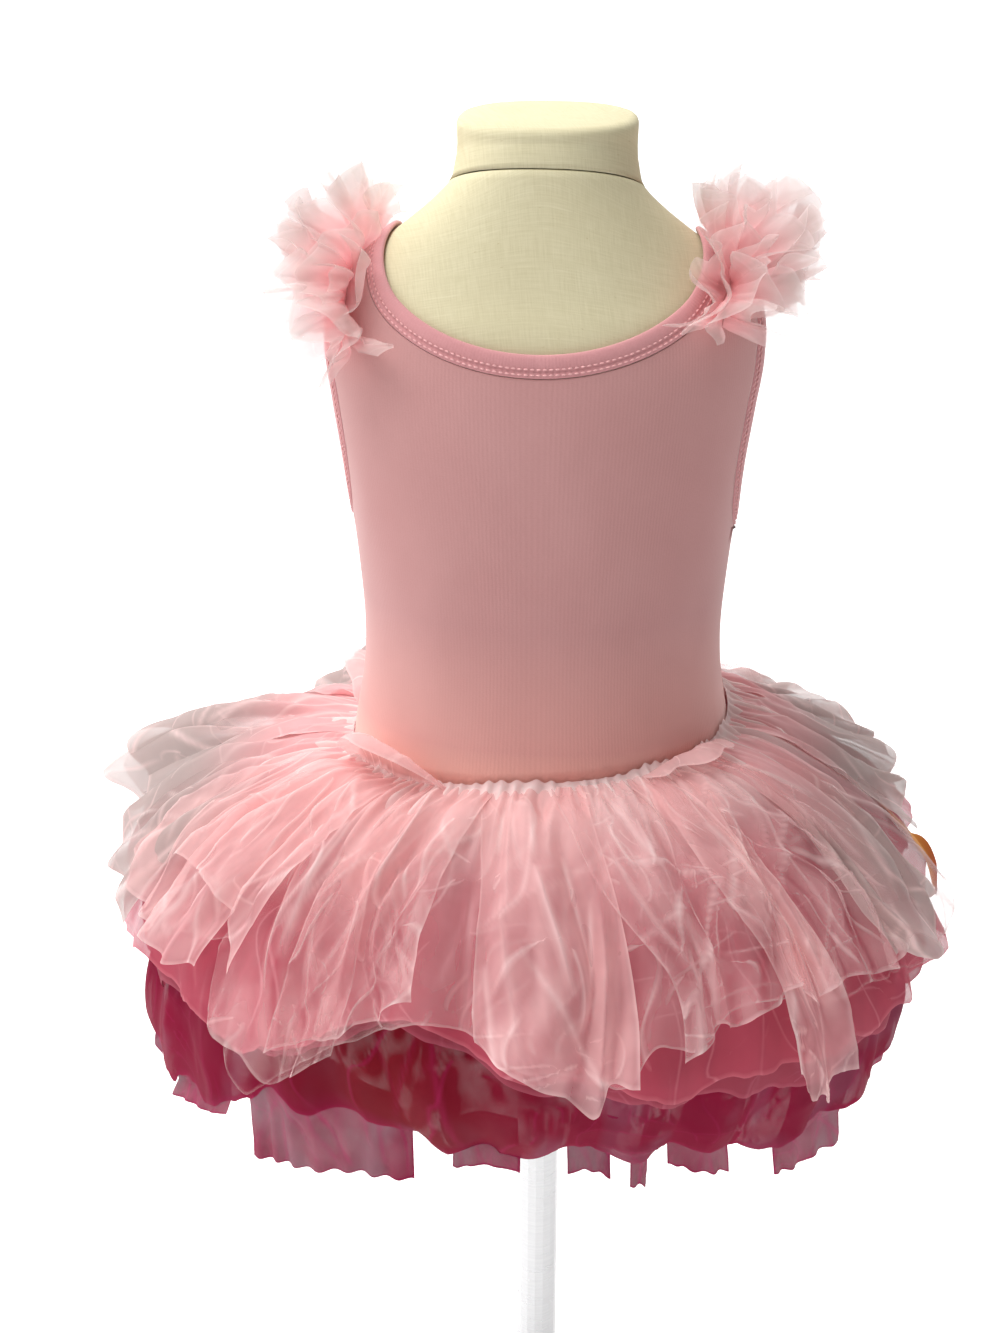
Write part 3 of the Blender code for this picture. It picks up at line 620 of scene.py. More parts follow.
def build_form():
    """The linen cover over the form, in finer steps than the solid, and the neck block."""
    angle = turns(FORM_SIDES)[None, :]
    height = np.linspace(FORM_BOTTOM, NECK_SEAM - SEAM_GROOVE, FORM_LEVELS)
    grid = on_form(angle, height[:, None])
    foot, groove = drawn_in(grid[0], FOOT_RINGS, 0), drawn_in(grid[-1], GROOVE_RINGS, 1)
    add_linen("form_cover", np.array([*foot, *grid, *groove]), "form_torso")

    neck = on_form(angle, np.array(NECK_LEVELS)[:, None])
    neck[0, :, 2] += SEAM_GAP
    neck[-1, :, 2] = WAIST_Z + NECK_TOP
    level = np.linspace(0, 1, 5)[1:-1, None]  # the block's tilt is gone at its top
    neck[4:7, :, 2] = (1 - level) * neck[3, :, 2] + level * neck[-1, :, 2]
    rim, top = drawn_in(neck[0], RIM_RINGS, 1), drawn_in(neck[-1], TOP_RINGS, 0)
    add_linen("form_neck", np.array([*rim, *neck, *top]), "form_neck_cap", NECK_WEAVE_START)
    for node in ("stand_pole", "stand_base"):
        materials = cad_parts[node].data.materials
        materials.clear()
        materials.append(METAL)


# ---------------------------------------------------------------- creases

CREASE_LINE = 0.0015  # half width of the pale line on a crease's crest


def creased(u, v, rows):
    """Height and pale line that creases give to cloth at (u, v), in metres on the flat cloth.

    rows hold, for each crease, u and v at its start and its end, height, width and line.
    """
    lift = np.zeros_like(u)
    line = np.zeros_like(u)
    for u0, v0, u1, v1, height, width, strength in rows:
        du, dv = u1 - u0, v1 - v0
        length = math.hypot(du, dv)
        near = (u > min(u0, u1) - width) & (u < max(u0, u1) + width)
        near = near & (v > min(v0, v1) - width) & (v < max(v0, v1) + width)
        pu, pv = u[near] - u0, v[near] - v0
        t = (pu * du + pv * dv) / (length * length)
        away = np.abs(pu * dv - pv * du) / length
        fade = np.sqrt(np.clip(t, 0, 1) * np.clip(1 - t, 0, 1) * 4)
        tent = np.clip(1 - away / width, 0, 1)
        lift[near] += height * fade * tent**1.3
        line[near] = np.maximum(line[near], strength * fade * bell(away, CREASE_LINE))
    return lift, line


def scattered(count, seed, u_range, v_range, lengths, heights, widths, lines, slant):
    """Creases scattered over a cloth, mostly running down it; slant is their spread in radians."""
    pick = np.random.default_rng(seed)
    rows = []
    for _ in range(count):
        u0, v0 = pick.uniform(*u_range), pick.uniform(*v_range)
        length = pick.uniform(*lengths)
        turn = pick.normal(0.0, slant)
        end = (u0 + length * math.sin(turn), v0 + length * math.cos(turn))
        height = pick.uniform(*heights) * pick.choice((1.0, 1.0, -0.8))
        rows.append((u0, v0, *end, height, pick.uniform(*widths), pick.uniform(*lines)))
    return rows


ROUND = 0.200  # radius at which a skirt's width is counted on the flat cloth


def cloth_noise(u, v, cell_u, cell_v, seed, closed):
    """Noise on the flat cloth; on a closed layer it meets itself at the ends."""
    if not closed:
        return noise(u / cell_u + 60.0, v / cell_v + 9.0, seed)
    cells = round(FULL_TURN * ROUND / cell_u)
    return noise(u / (FULL_TURN * ROUND) * cells, v / cell_v, seed, cells)


def steps_of(values, axis):
    """Sizes of the steps from one value to the next, with none so small that it can't divide."""
    return np.maximum(np.abs(np.gradient(values, axis=axis)), 1e-6)


def crest_distance(field, u, v, runs):
    """Metres from a crest, where the field is 0; only crests that run down (0) or across (1)."""
    slopes_both = (
        np.gradient(field, axis=1) / steps_of(u, 1), np.gradient(field, axis=0) / steps_of(v, 0)
    )
    steep = np.hypot(*slopes_both) + 1e-3
    shown = ease((np.abs(slopes_both[runs]) / steep - 0.45) / 0.4)
    return np.clip(field / steep / (shown + 0.02), -1.0, 1.0)


DOWN, ACROSS = 0, 1
BENT = 0.016  # how far a crest wanders (metres)
# Crests of crumpled net: their attribute, cells across and down (metres), height, where on
# "shown" they start, over what change of it they grow whole, and which way they run
CRESTS = (
    ("ridge", 0.022, 0.060, 1.00, -0.4, 0.7, DOWN),
    ("ridge_fine", 0.0135, 0.024, 0.45, 0.2, -0.6, DOWN),
    ("ridge_cross", 0.060, 0.017, 0.40, -0.1, -0.5, ACROSS),
)


def crumple(u, v, seed, tall, cell=1.0, closed=False):
    """Sharp wandering creases in crumpled net: their height, and the fields that line them."""

    def field(x, y, across, down, number):
        return cloth_noise(x, y, across * cell, down * cell, seed + number, closed)

    bent_u = u + BENT * cell * field(u, v, 0.050, 0.036, 0)
    bent_v = v + BENT * cell * field(u, v, 0.050, 0.060, 1)
    shown = field(u, v, 0.040, 0.055, 5)
    crest = 0.0
    values = {}
    for number, (name, across, down, height, start, change, runs) in enumerate(CRESTS, 2):
        crossing = field(bent_u, bent_v, across, down, number)
        crest = crest + height * (1 - np.abs(crossing)) ** 3 * ease((shown - start) / change)
        values[name] = crest_distance(crossing, u, v, runs)
    values["shown"] = shown
    return tall * crest, values


def steepness(move, u, strength, most):
    """How much denser net looks where it stands steeply across its width."""
    return np.clip(np.abs(np.gradient(move, axis=1)) / steps_of(u, 1) * strength, 0, most)


# ---------------------------------------------------------------- skirt


def skirt_point(order, angle, bearing, share):
    """A point of a skirt layer; share is 0 at the seam and 1 at its hem."""
    own_folds, own_depth = OWN_FOLDS[order]
    table = LAYERS[order]
    ring = on_body(angle, np.zeros_like(angle), CLOTH_GAP + JERSEY / 2)
    start = PIVOT_DROP - SEAM_GAP - TULLE / 2 - order * LAYER_DROP
    puff = round_table(table, 1, angle)
    sag = round_table(SKIRT_SAG, 1, angle)
    drift = 0.8 * np.sin(3 * angle + 0.4) + 0.5 * np.sin(5 * angle + 1.9)
    turn_share = angle / FULL_TURN
    uneven = 0.75 + 0.55 * noise(turn_share * 14, turn_share * 0, 61, 14)
    drift = drift + 0.9 * noise(turn_share * 19, turn_share * 0, 62, 19)
    shared = np.sin(SKIRT_FOLDS * angle + drift) * uneven
    own = np.sin(own_folds * angle + 1.3 * order + 0.9 * np.sin(4 * angle + order))
    turn = (QUARTER - bearing) / QUARTER
    fold = FOLD_AT_SEAM * ease(4 * share) + (FOLD_AT_HEM - FOLD_AT_SEAM) * share**FOLD_GROWTH
    reach = start + (puff - start) * turn**PUFF_POWER
    reach = reach - sag * np.sin(math.pi * np.minimum(turn, 1.0))
    if order == DEEPEST:
        flare = round_table(table, 3, angle)
        reach = reach + flare * np.maximum(-bearing / FLARE_ANGLE, 0.0) ** FLARE_POWER
    reach = reach + fold * shared + own_depth * share * own
    point = ring + level_out(angle) * (reach * np.cos(bearing))[..., None]
    point[..., 2] = waist_height(angle) + WAIST_Z - PIVOT_DROP + reach * np.sin(bearing)
    return point


def hem_bearing(order, angle):
    return np.radians(round_table(LAYERS[order], 2, angle))


# How much higher the top layer's own hem hangs in places (angle, degrees of bearing): its
# pointed corner is narrow and the overlays hang past it beside the middle panel.
TOP_HEM_RISE = (
    (-180, 0.0), (-104, 0.0), (-92, 2.0), (-78, 8.0), (-62, 12.0), (-50, 20.0), (-43, 27.0),
    (-39, 14.0), (-35, 7.0), (-29, 6.0), (-20, 5.0), (-10, 3.0), (0, 5.0), (8, 5.0), (14, 4.0),
    (17, 12.0), (22, 6.0), (29, 1.0), (50, 0.0), (80, 0.0), (88, 6.0), (98, 4.0), (106, 0.0),
)
# How much higher the two rose layers' hems hang there (degrees of bearing): the deep layer
# shows right under the pale one between its left corner and its middle panel.
INNER_HEM_RISE = (
    (-180, 0.0), (-44, 0.0), (-36, 1.5), (-28, 5.5), (-19, 8.0), (-10, 6.5), (-3, 3.0), (5, 0.0),
    (60, 0.0),
)
# The share of that rise that each layer has
INNER_RISE_SHARE = {MIDDLE: 0.60, LOWER: 0.95}

PLEATS = 96
MERGED_PLEATS = 54
LAST_PLEATS = 31
# A pleat starts within the first length, dies out over the second (metres) and is so strong
PLEAT_RUNS = ((0.004, 0.036, 0.65), (0.02, 0.066, 0.65), (0.05, 0.110, 0.35))


def gathers(angle, down, seed, depth):
    """The pleats that leave the seam: they merge and die out down the cloth."""
    turn = angle / FULL_TURN
    wander = noise(turn * 60, down * 22, seed, 60)
    pleats = (
        np.sin(PLEATS * angle + 3.2 * wander),
        np.sin(MERGED_PLEATS * angle + 4.0 * wander + 1.0),
        np.sin(LAST_PLEATS * angle + 5.0 * wander + 2.0),
    )
    places = [ease(down / starts) * bell(down, ends) for starts, ends, _ in PLEAT_RUNS]
    wave = sum(
        place * pleat * strong for place, pleat, (_, _, strong) in zip(places, pleats, PLEAT_RUNS)
    )
    strength = 0.65 + 0.55 * noise(turn * 41, down * 9, seed + 2, 41)
    return depth * strength * wave, np.clip(pleats[0], 0, 1) ** 8 * places[0] * 0.30


def cuffed(points, angle, down):
    """The top layer's first centimetre: crimped, a little raised and laid against the bodice."""
    turn = angle / FULL_TURN
    loose = 2.4 * noise(turn * 60, turn * 0, 38, 60)
    crimps = 0.22 * np.sin(PLEATS * angle + loose)
    pleat = 0.70 + crimps + 0.6 * noise(turn * 44, turn * 0, 37, 44)
    cuff = bell(down, 0.006) * np.maximum(pleat, 0.15)
    points = points + level_out(angle) * (0.0018 * cuff)[..., None]
    points[..., 2] += 0.0032 * cuff
    top = waist_height(angle) + 0.0042 * np.maximum(pleat, 0.45) - down
    off = CLOTH_GAP + JERSEY + SEAM_GAP + 0.0009 * np.clip(pleat, 0, 1)
    return points + (on_body(angle, top, off) - points) * bell(down, 0.0035)[..., None]


# Where the top layer is stretched thin or lies double: angle, half width (degrees), density
NET_PLACES = (
    (-100, 10, -0.10), (-64, 6, -0.10), (-38, 8, -0.10), (-8, 8, 0.15), (20, 7, 0.20),
    (33, 5, -0.10), (52, 6, -0.10), (100, 12, -0.10), (160, 14, -0.10),
)


def top_density(angle, down, grey):
    """How much denser the top layer is in places; grey is where single net has painted grey shade."""
    more = 0.42 * grey
    for middle, width, density in NET_PLACES:
        more = more + density * bell(np.degrees(angle) - middle, width) * ease((down - 0.03) / 0.03)
    return more


def tulle_layer(order, name, slot, material, columns, rows, depth, seed, lift, tall, creases):
    """A whole layer of the skirt, round the waist."""
    angle, share = turns(columns)[None, :] - math.pi, np.linspace(0, 1, rows + 1)[:, None]
    hem = hem_bearing(order, angle)
    if order == TOP:
        hem = hem + np.radians(round_table(TOP_HEM_RISE, 1, angle))
    elif order != DEEPEST:
        hem = hem + np.radians(round_table(INNER_HEM_RISE, 1, angle)) * INNER_RISE_SHARE[order]
    turn = angle / FULL_TURN
    ragged = 0.007 * noise(turn * 251, angle * 0, seed + 5, 251)
    ragged = ragged + 0.030 * noise(turn * 60, angle * 0, seed + 6, 60)
    bearing = QUARTER - share * (QUARTER - hem) * (1 + ragged)
    angle = np.broadcast_to(angle, bearing.shape)
    points = skirt_point(order, angle, bearing, np.broadcast_to(share, bearing.shape))
    down = run_down(points)
    u = angle * ROUND
    wave, seam_line = gathers(angle, down, seed, depth)
    ridges, line = creased(u, down, creases)
    crests, values = crumple(u, down, 500 + seed, tall, closed=True)
    soft = tall * ease(down / 0.06) * cloth_noise(u, down, 0.050, 0.045, seed + 7, True)
    move = wave + ridges + crests * ease(down / 0.03) + soft + lift * ease(down / 0.03)
    move = np.maximum(move, -0.0045)
    points = moved_out(points, move, closed=True)
    edge = bell(down[-1] - down, 0.0010)
    near_seam = bell(down, 0.050)
    # Near the seam the net is denser where it is gathered, and paler there by painted light from
    # above
    values["crease"] = np.clip(line + seam_line + 0.35 * edge + 0.75 * near_seam, 0, 1)
    values["thick"] = 0.70 * near_seam + 0.06 * edge + steepness(move, u, 0.22, 0.20)
    if order == TOP:
        points = cuffed(points, angle, down)
        # Painted shade: at the sides the single net turns grey away from the seam
        values["tip"] = bell(np.abs(np.degrees(angle)) - 92, 20) * ease((down - 0.05) / 0.05)
        values["thick"] = values["thick"] + top_density(angle, down, values["tip"])
    if order == DEEPEST:
        # Painted shade: deeper crimson on the near side under the top layer, fading out at the hem
        values["tip"] = bell(np.degrees(angle) + 20, 22) * (1 - ease((share - 0.91) / 0.09))
    add_cloth(name, points, material, (u, down), values, closed=True, node="skirt_" + name)


# The whole layers: name, slot, material, columns, rows, depth of the pleats, seed, lift, height
# of the crests, and their creases' count, seed, reach down the cloth, longest, tallest, widest,
# palest and slant
WHOLE_LAYERS = (
    ("tulle_top", "tulle_pale", PALE, 900, 84, 0.0030, 21, 0.0015, 0.0024,
     (120, 11, 0.15, 0.11, 0.0026, 0.012, 0.7, 0.42)),
    ("tulle_middle", "tulle_pale", PALE_INNER, 600, 54, 0.0014, 31, -0.0012, 0.0012,
     (90, 12, 0.15, 0.10, 0.0020, 0.012, 0.5, 0.40)),
    ("tulle_lower", "tulle_rose", ROSE, 540, 48, 0.0014, 41, -0.0008, 0.0014,
     (70, 13, 0.17, 0.10, 0.0018, 0.012, 0.5, 0.40)),
    ("magenta_layer", "tulle_magenta", MAGENTA, 600, 60, 0.0018, 51, 0.0, 0.0024,
     (80, 14, 0.19, 0.12, 0.0018, 0.014, 0.5, 0.35)),
)


def build_layers():
    around = (-math.pi * ROUND, math.pi * ROUND)
    for order, (*sizes, creases) in enumerate(WHOLE_LAYERS):
        count, seed, reach, longest, tallest, widest, palest, slant = creases
        rows = scattered(count, seed, around, (0.0, reach), (0.03, longest), (0.0006, tallest),
                         (0.004, widest), (0.05, palest), slant)
        tulle_layer(order, *sizes, rows)


# Loose overlays of the top layer: pieces of tulle that lie on it and overlap, each between two
# lines from the seam to its own hem. Angles in degrees, lift in metres off the top layer, drop
# is how much further its corners hang (degrees).
#  name, seam from, seam to, hem from, hem to, hem bearing from, middle, to, lift, ruffle, drop
FLAPS = (
    ("wing_left", -112, -84, -116, -92, 28, 24, 24, 0.0030, 4, 3),
    ("sweep_left", -92, -62, -102, -72, 22, 14, 16, 0.0035, 4, 4),
    ("fold_left", -70, -42, -82, -48, 22, 17, 19, 0.0050, 4, 3),
    ("veil_left", -60, -34, -66, -38, 42, 36, 30, 0.0090, 3, 7),
    ("tip_left", -48, -24, -43, -22, 24, 1, 9, 0.0050, 3, 0),
    ("short_left", -34, -8, -31, -12, 14, 21, 27, 0.0070, 3, 2),
    ("centre", -10, 12, -3, 16, 17, 6, 7, 0.0060, 3, 0),
    ("cross_right", 4, 34, 20, 40, 16, 21, 22, 0.0080, 4, 4),
    ("sweep_right", 24, 58, 40, 66, 24, 19, 18, 0.0060, 4, 4),
    ("strip_right", 28, 42, 33, 44, 4, -1, 2, 0.0055, 1, 1),
    ("wing_right", 52, 76, 55, 74, 18, 15, 21, 0.0035, 3, 1),
    ("flank_right", 78, 112, 84, 118, 28, 27, 26, 0.0030, 3, 1),
    ("far_right", 108, 146, 112, 150, 23, 26, 24, 0.0045, 5, 4),
    ("far_middle", 140, 184, 146, 186, 20, 16, 16, 0.0065, 6, 4),
    ("far_left", -178, -136, -174, -142, 16, 28, 38, 0.0050, 5, 4),
    ("far_wing", -146, -108, -146, -118, 38, 34, 28, 0.0050, 4, 3),
)
# Flaps whose net turns to a painted grey shade towards its hem
GREYED = ("wing_left", "sweep_left", "wing_right", "far_right", "flank_right", "far_wing")
THINNED = ("short_left", "tip_left")
DOUBLED = ("centre", "veil_left", "fold_left", "short_left", "strip_right", "tip_left")


def flap(index, name, seam_from, seam_to, hem_from, hem_to, low, middle, high, lift, ruffle, drop):
    t, share = across_and_down(122, 62)
    grey = name in GREYED
    start = np.radians(seam_from + (seam_to - seam_from) * t)
    end = np.radians(hem_from + (hem_to - hem_from) * t)
    angle = start + (end - start) * ease(share * 1.15)
    angle = angle + 0.030 * ease(share * 2) * noise(t * 2.5, share * 2.5, 60 + index)
    hem = np.radians(hermite(t, (0, 0.5, 1), (low, middle, high)))
    hem = hem + 0.060 * noise(t * 5, t * 0, 70 + index) + 0.004 * noise(t * 17, t * 0, 71 + index)
    hem = hem - math.radians(drop) * np.abs(2 * t - 1) ** 3
    bearing = QUARTER - share * (QUARTER - hem)
    top_share = (QUARTER - bearing) / (QUARTER - hem_bearing(TOP, angle))
    points = skirt_point(TOP, angle, bearing, np.clip(top_share, 0, 1))
    down = run_down(points)
    u = angle * ROUND
    wave, seam_line = gathers(angle, down, 90 + index, 0.0030)
    span = math.radians(max(hem_to - hem_from, 1)) * ROUND
    own = np.sin(FULL_TURN * ruffle * t + 4.0 * noise(t * 3, share * 3, 110 + index))
    own = own * 0.0042 * ease(share * 1.6) * np.sin(math.pi * np.clip(t, 0.02, 0.98)) ** 0.4
    middle_u = float(u.mean())
    ridges, line = creased(u, down, scattered(
        16, 130 + index, (middle_u - span * 0.6, middle_u + span * 0.6), (0.0, 0.13),
        (0.025, 0.09), (0.0006, 0.0026), (0.003, 0.010), (0.1, 0.8), 0.5,
    ))
    crests, values = crumple(u + 0.31 * index, down, 700 + 8 * index, 0.0030)
    away = ease(share / 0.25) * lift + 0.0008
    curl = 0.003 * ease((share - 0.82) / 0.18) * (1 + noise(t * 5, share, 150 + index))
    calm = 0.45 if grey else 1.0
    ridges, wave = ridges * calm, wave * (0.4 + 0.6 * calm)
    move = away + wave + ridges + own + crests * calm * ease(share / 0.2) + curl
    points = moved_out(points, np.maximum(move, 0.0006))
    side = np.minimum(t, 1 - t) * (span + 1e-6)
    edge = bell(down[-1] - down, 0.0011) + bell(side, 0.0009)
    values["crease"] = np.clip(line + seam_line + 0.40 * edge, 0, 1)
    steep = steepness(move, u, 0.20, 0.18)
    values["thick"] = 0.05 * np.clip(edge, 0, 1) + 0.25 * bell(down, 0.04) + steep
    if name in THINNED:
        values["thick"] = values["thick"] - 0.27 * ease((share - 0.35) / 0.30)
    # Painted shade: a greyed flap turns grey towards its hem
    values["tip"] = grey * ease((share - 0.15) / 0.60) + np.zeros_like(down)
    material = WING if grey else PALE_DENSE if name in DOUBLED else PALE
    add_cloth("overlay_" + name, points, material, (u, down), values)


# Lobes of tulle that stand up at the seam and fold over it: name, from, to (degrees), height,
# lean outwards, waves and their depth
LOBES = (
    ("left", -66, -22, 0.036, 0.42, 2, 0.0010), ("right", 30, 66, 0.016, 0.90, 3, 0.0022),
    ("far", 150, 190, 0.020, 0.90, 4, 0.0020), ("far_left", -132, -104, 0.022, 0.70, 3, 0.0018),
)


def lobe(index, name, first, last, tall, lean, waves, ruffle):
    t, s = across_and_down(80, 26)
    angle = np.radians(first + (last - first) * t) + 0 * s
    seam = on_body(angle, waist_height(angle), CLOTH_GAP + JERSEY + 0.0012)
    arch = np.sin(math.pi * np.clip(t, 0, 1)) ** 0.8
    height = tall * arch * (1 + 0.20 * noise(t * 4, s, 170 + index))
    bend = s * 1.9
    rise = np.sin(np.minimum(bend, 1.9)) * height * 0.75
    reach = (1 - np.cos(bend)) * height * lean + 0.004 * s
    wave = ruffle * s * np.sin(FULL_TURN * waves * t + 2.5 * noise(t * 3, s * 2, 180 + index))
    points = seam + level_out(angle) * (reach + wave)[..., None]
    points[..., 2] += rise
    u = angle * ROUND
    down = run_down(points)
    middle_u = float(u.mean())
    span = math.radians(last - first) * ROUND
    ridges, line = creased(u, down, scattered(
        6, 190 + index, (middle_u - span / 2, middle_u + span / 2), (0, 0.02), (0.01, 0.035),
        (0.0003, 0.0009), (0.004, 0.009), (0.1, 0.6), 0.5,
    ))
    crests, values = crumple(u + 0.17 * index, down, 900 + 8 * index, ruffle * 0.5)
    points = moved_out(points, (ridges + crests) * ease(s / 0.5))
    edge = bell(down[-1] - down, 0.0010)
    values["crease"] = np.clip(line + 0.40 * edge, 0, 1)
    values["thick"] = 0.06 * edge + 0.28
    add_cloth("lobe_" + name, points, PALE_DENSE, (u, down), values)


# ---------------------------------------------------------------- magenta strips and petal

STRIP_SHARE = 0.80  # the strips start at this share of the magenta layer
STRIP_OFF = 0.0016
STRIP_FLATTENS = 0.6
STRIP_UNEVEN = 0.10
STRIP_HELD_ROWS = 10
STRIP_HANGING_ROWS = 34
CAD_COLUMN = FULL_TURN / 96  # the solids have so many columns round the skirt
# first column, columns wide, length below the layer's hem, push outwards
MAGENTA_STRIPS = (
    (29, 5, 0.010, 0.004), (35, 8, 0.040, 0.000), (45, 3, 0.010, 0.002), (50, 2, 0.017, 0.002),
    (53, 1, 0.020, 0.001), (55, 3, 0.016, 0.002), (60, 4, 0.018, 0.002), (67, 4, 0.012, 0.003),
    (74, 4, 0.018, 0.004), (80, 4, 0.024, 0.004), (86, 4, 0.020, 0.004), (92, 3, 0.026, 0.004),
    (2, 4, 0.022, 0.004), (8, 3, 0.026, 0.004), (14, 5, 0.020, 0.004), (23, 3, 0.022, 0.004),
)


def magenta_strip(index, first, wide, length, push):
    """A strip inside the magenta layer: it lies on it, then hangs straight down from its hem."""
    t = np.linspace(0, 1, 12 * wide + 8)[None, :]
    angle = -math.pi + CAD_COLUMN * (first + wide * t)
    share = np.linspace(STRIP_SHARE, 1.0, STRIP_HELD_ROWS + 1)[:, None]
    bearing = QUARTER - share * (QUARTER - hem_bearing(DEEPEST, angle))
    full = np.broadcast_to(angle, bearing.shape)
    on_layer = skirt_point(DEEPEST, full, bearing, np.broadcast_to(share, bearing.shape))
    on_layer = on_layer - grid_normals(on_layer, False) * STRIP_OFF
    lowest = on_layer[-1]
    straight = (1 - t.T) * lowest[0] + t.T * lowest[-1]
    out = unit(lowest * (1.0, 1.0, 0.0))
    rows = list(on_layer)
    for step in range(1, STRIP_HANGING_ROWS + 1):
        s = step / STRIP_HANGING_ROWS
        point = lowest + (straight - lowest) * STRIP_FLATTENS * s + out * push * s
        point[:, 2] -= length * s * (1 + STRIP_UNEVEN * np.sin(3.0 * t[0] + index))
        rows.append(point)
    points = np.array(rows)
    down = run_down(points)
    u = np.broadcast_to((angle - angle.mean()) * ROUND + index, down.shape)
    span = wide * CAD_COLUMN * ROUND
    loose = ease((down - down[STRIP_HELD_ROWS].mean()) / 0.02)
    wave = np.sin(FULL_TURN * (0.7 + wide * 0.75) * t + 2 * noise(t * 3, down * 18, 210 + index))
    ridges, line = creased(u, down, scattered(
        4 + 2 * wide, 230 + index, (index - span / 2, index + span / 2), (0.0, 0.06), (0.02, 0.07),
        (0.0005, 0.0020), (0.003, 0.009), (0.1, 0.6), 0.35,
    ))
    crests, values = crumple(u, down, 1000 + 8 * index, 0.0010, 0.9)
    ridges = (ridges + crests - 0.0005) * (1 - 0.8 * ease((down - down[-1] + 0.012) / 0.010))
    points = moved_out(points, 0.0016 * loose * wave + np.clip(ridges, -0.001, 0.001) * loose)
    edge = bell(down[-1] - down, 0.0010) + bell(np.minimum(t, 1 - t) * span, 0.0008)
    values["crease"] = np.clip(line + 0.3 * edge, 0, 1)
    values["thick"] = 0.05 * np.clip(edge, 0, 1) + np.zeros_like(down)
    name = f"strip_{index + 1:02d}"
    add_cloth(name, points, MAGENTA_LOOSE, (u, down), values,
              node="magenta_" + name)


PETAL_COLUMN = 73
PETAL_WIDTH = 2
PETAL_LENGTH = 0.030
PETAL_OFF = 0.0016
PETAL_FREE = 0.60  # the share of its length from which it narrows and turns
PETAL_TURN = math.radians(62.0)  # its free tip turns its face to the near side


def build_petal():
    """The small orange petal on the middle layer, whose tip stands past the hem."""
    columns = 30
    t, s = across_and_down(columns, 40)
    middle = -math.pi + CAD_COLUMN * (PETAL_COLUMN + PETAL_WIDTH / 2)
    narrow = 1 - 0.85 * ease((s - PETAL_FREE) / 0.40) ** 1.6
    angle = middle + CAD_COLUMN * PETAL_WIDTH * (t - 0.5) * narrow
    share = np.minimum(0.78 + 0.22 * s, 1)
    past = PETAL_LENGTH * np.clip((s - 0.35) / 0.65, 0, 1) / round_table(MIDDLE_LAYER, 1, angle)
    bearing = QUARTER - share * (QUARTER - hem_bearing(MIDDLE, angle)) - past
    points = skirt_point(MIDDLE, angle, bearing, share + 0 * angle)
    cup = 0.0015 * (2 * t - 1) ** 2 * s + 0.0006 * np.sin(9 * t + 5 * s)
    points = moved_out(points, PETAL_OFF + cup)
    pivot = columns // 2
    turned = PETAL_TURN * ease((s - PETAL_FREE) / 0.25)[..., None]
    spine = points[:, pivot:pivot + 1]
    across = points - spine
    upright = np.linalg.norm(across, axis=-1, keepdims=True) * np.sign(t - t[0, pivot])[..., None]
    points = spine + across * np.cos(turned) + upright * (0.0, 0.0, 1.0) * np.sin(turned)
    uv = (angle * ROUND, run_down(points))
    add_cloth("petal", points, PETAL, uv, {"tip": s + 0 * angle},
              node="petal_right")


# ---------------------------------------------------------------- bodice

SIDE_ROWS = 12
ARM_ROWS = 32
SHOULDER_COLUMNS = 5
NECK_COLUMNS = 64
CROWDING = 2.0
ROW_ROOM = 0.039
SIDE_RADIUS = 0.0925

# Faint wrinkles in the jersey: u and v of both ends (metres round the body, height), height,
# width and line
WRINKLES = (
    (-0.066, 0.188, -0.034, 0.192, 0.00050, 0.0050, 0.0),
    (-0.070, 0.176, -0.022, 0.184, 0.00060, 0.0060, 0.0),
    (-0.060, 0.168, -0.012, 0.178, 0.00040, 0.0050, 0.0),
    (0.004, 0.166, 0.016, 0.186, 0.00040, 0.0035, 0.0),
    (-0.080, 0.150, -0.050, 0.163, 0.00040, 0.0060, 0.0),
    (-0.030, 0.120, -0.052, 0.100, 0.00035, 0.0090, 0.0),
    (0.052, 0.172, 0.090, 0.150, 0.00045, 0.0060, 0.0),
    (0.060, 0.120, 0.095, 0.100, 0.00040, 0.0070, 0.0),
    (-0.090, 0.080, -0.040, 0.070, 0.00040, 0.0080, 0.0),
    (0.030, 0.060, 0.085, 0.052, 0.00040, 0.0080, 0.0),
)


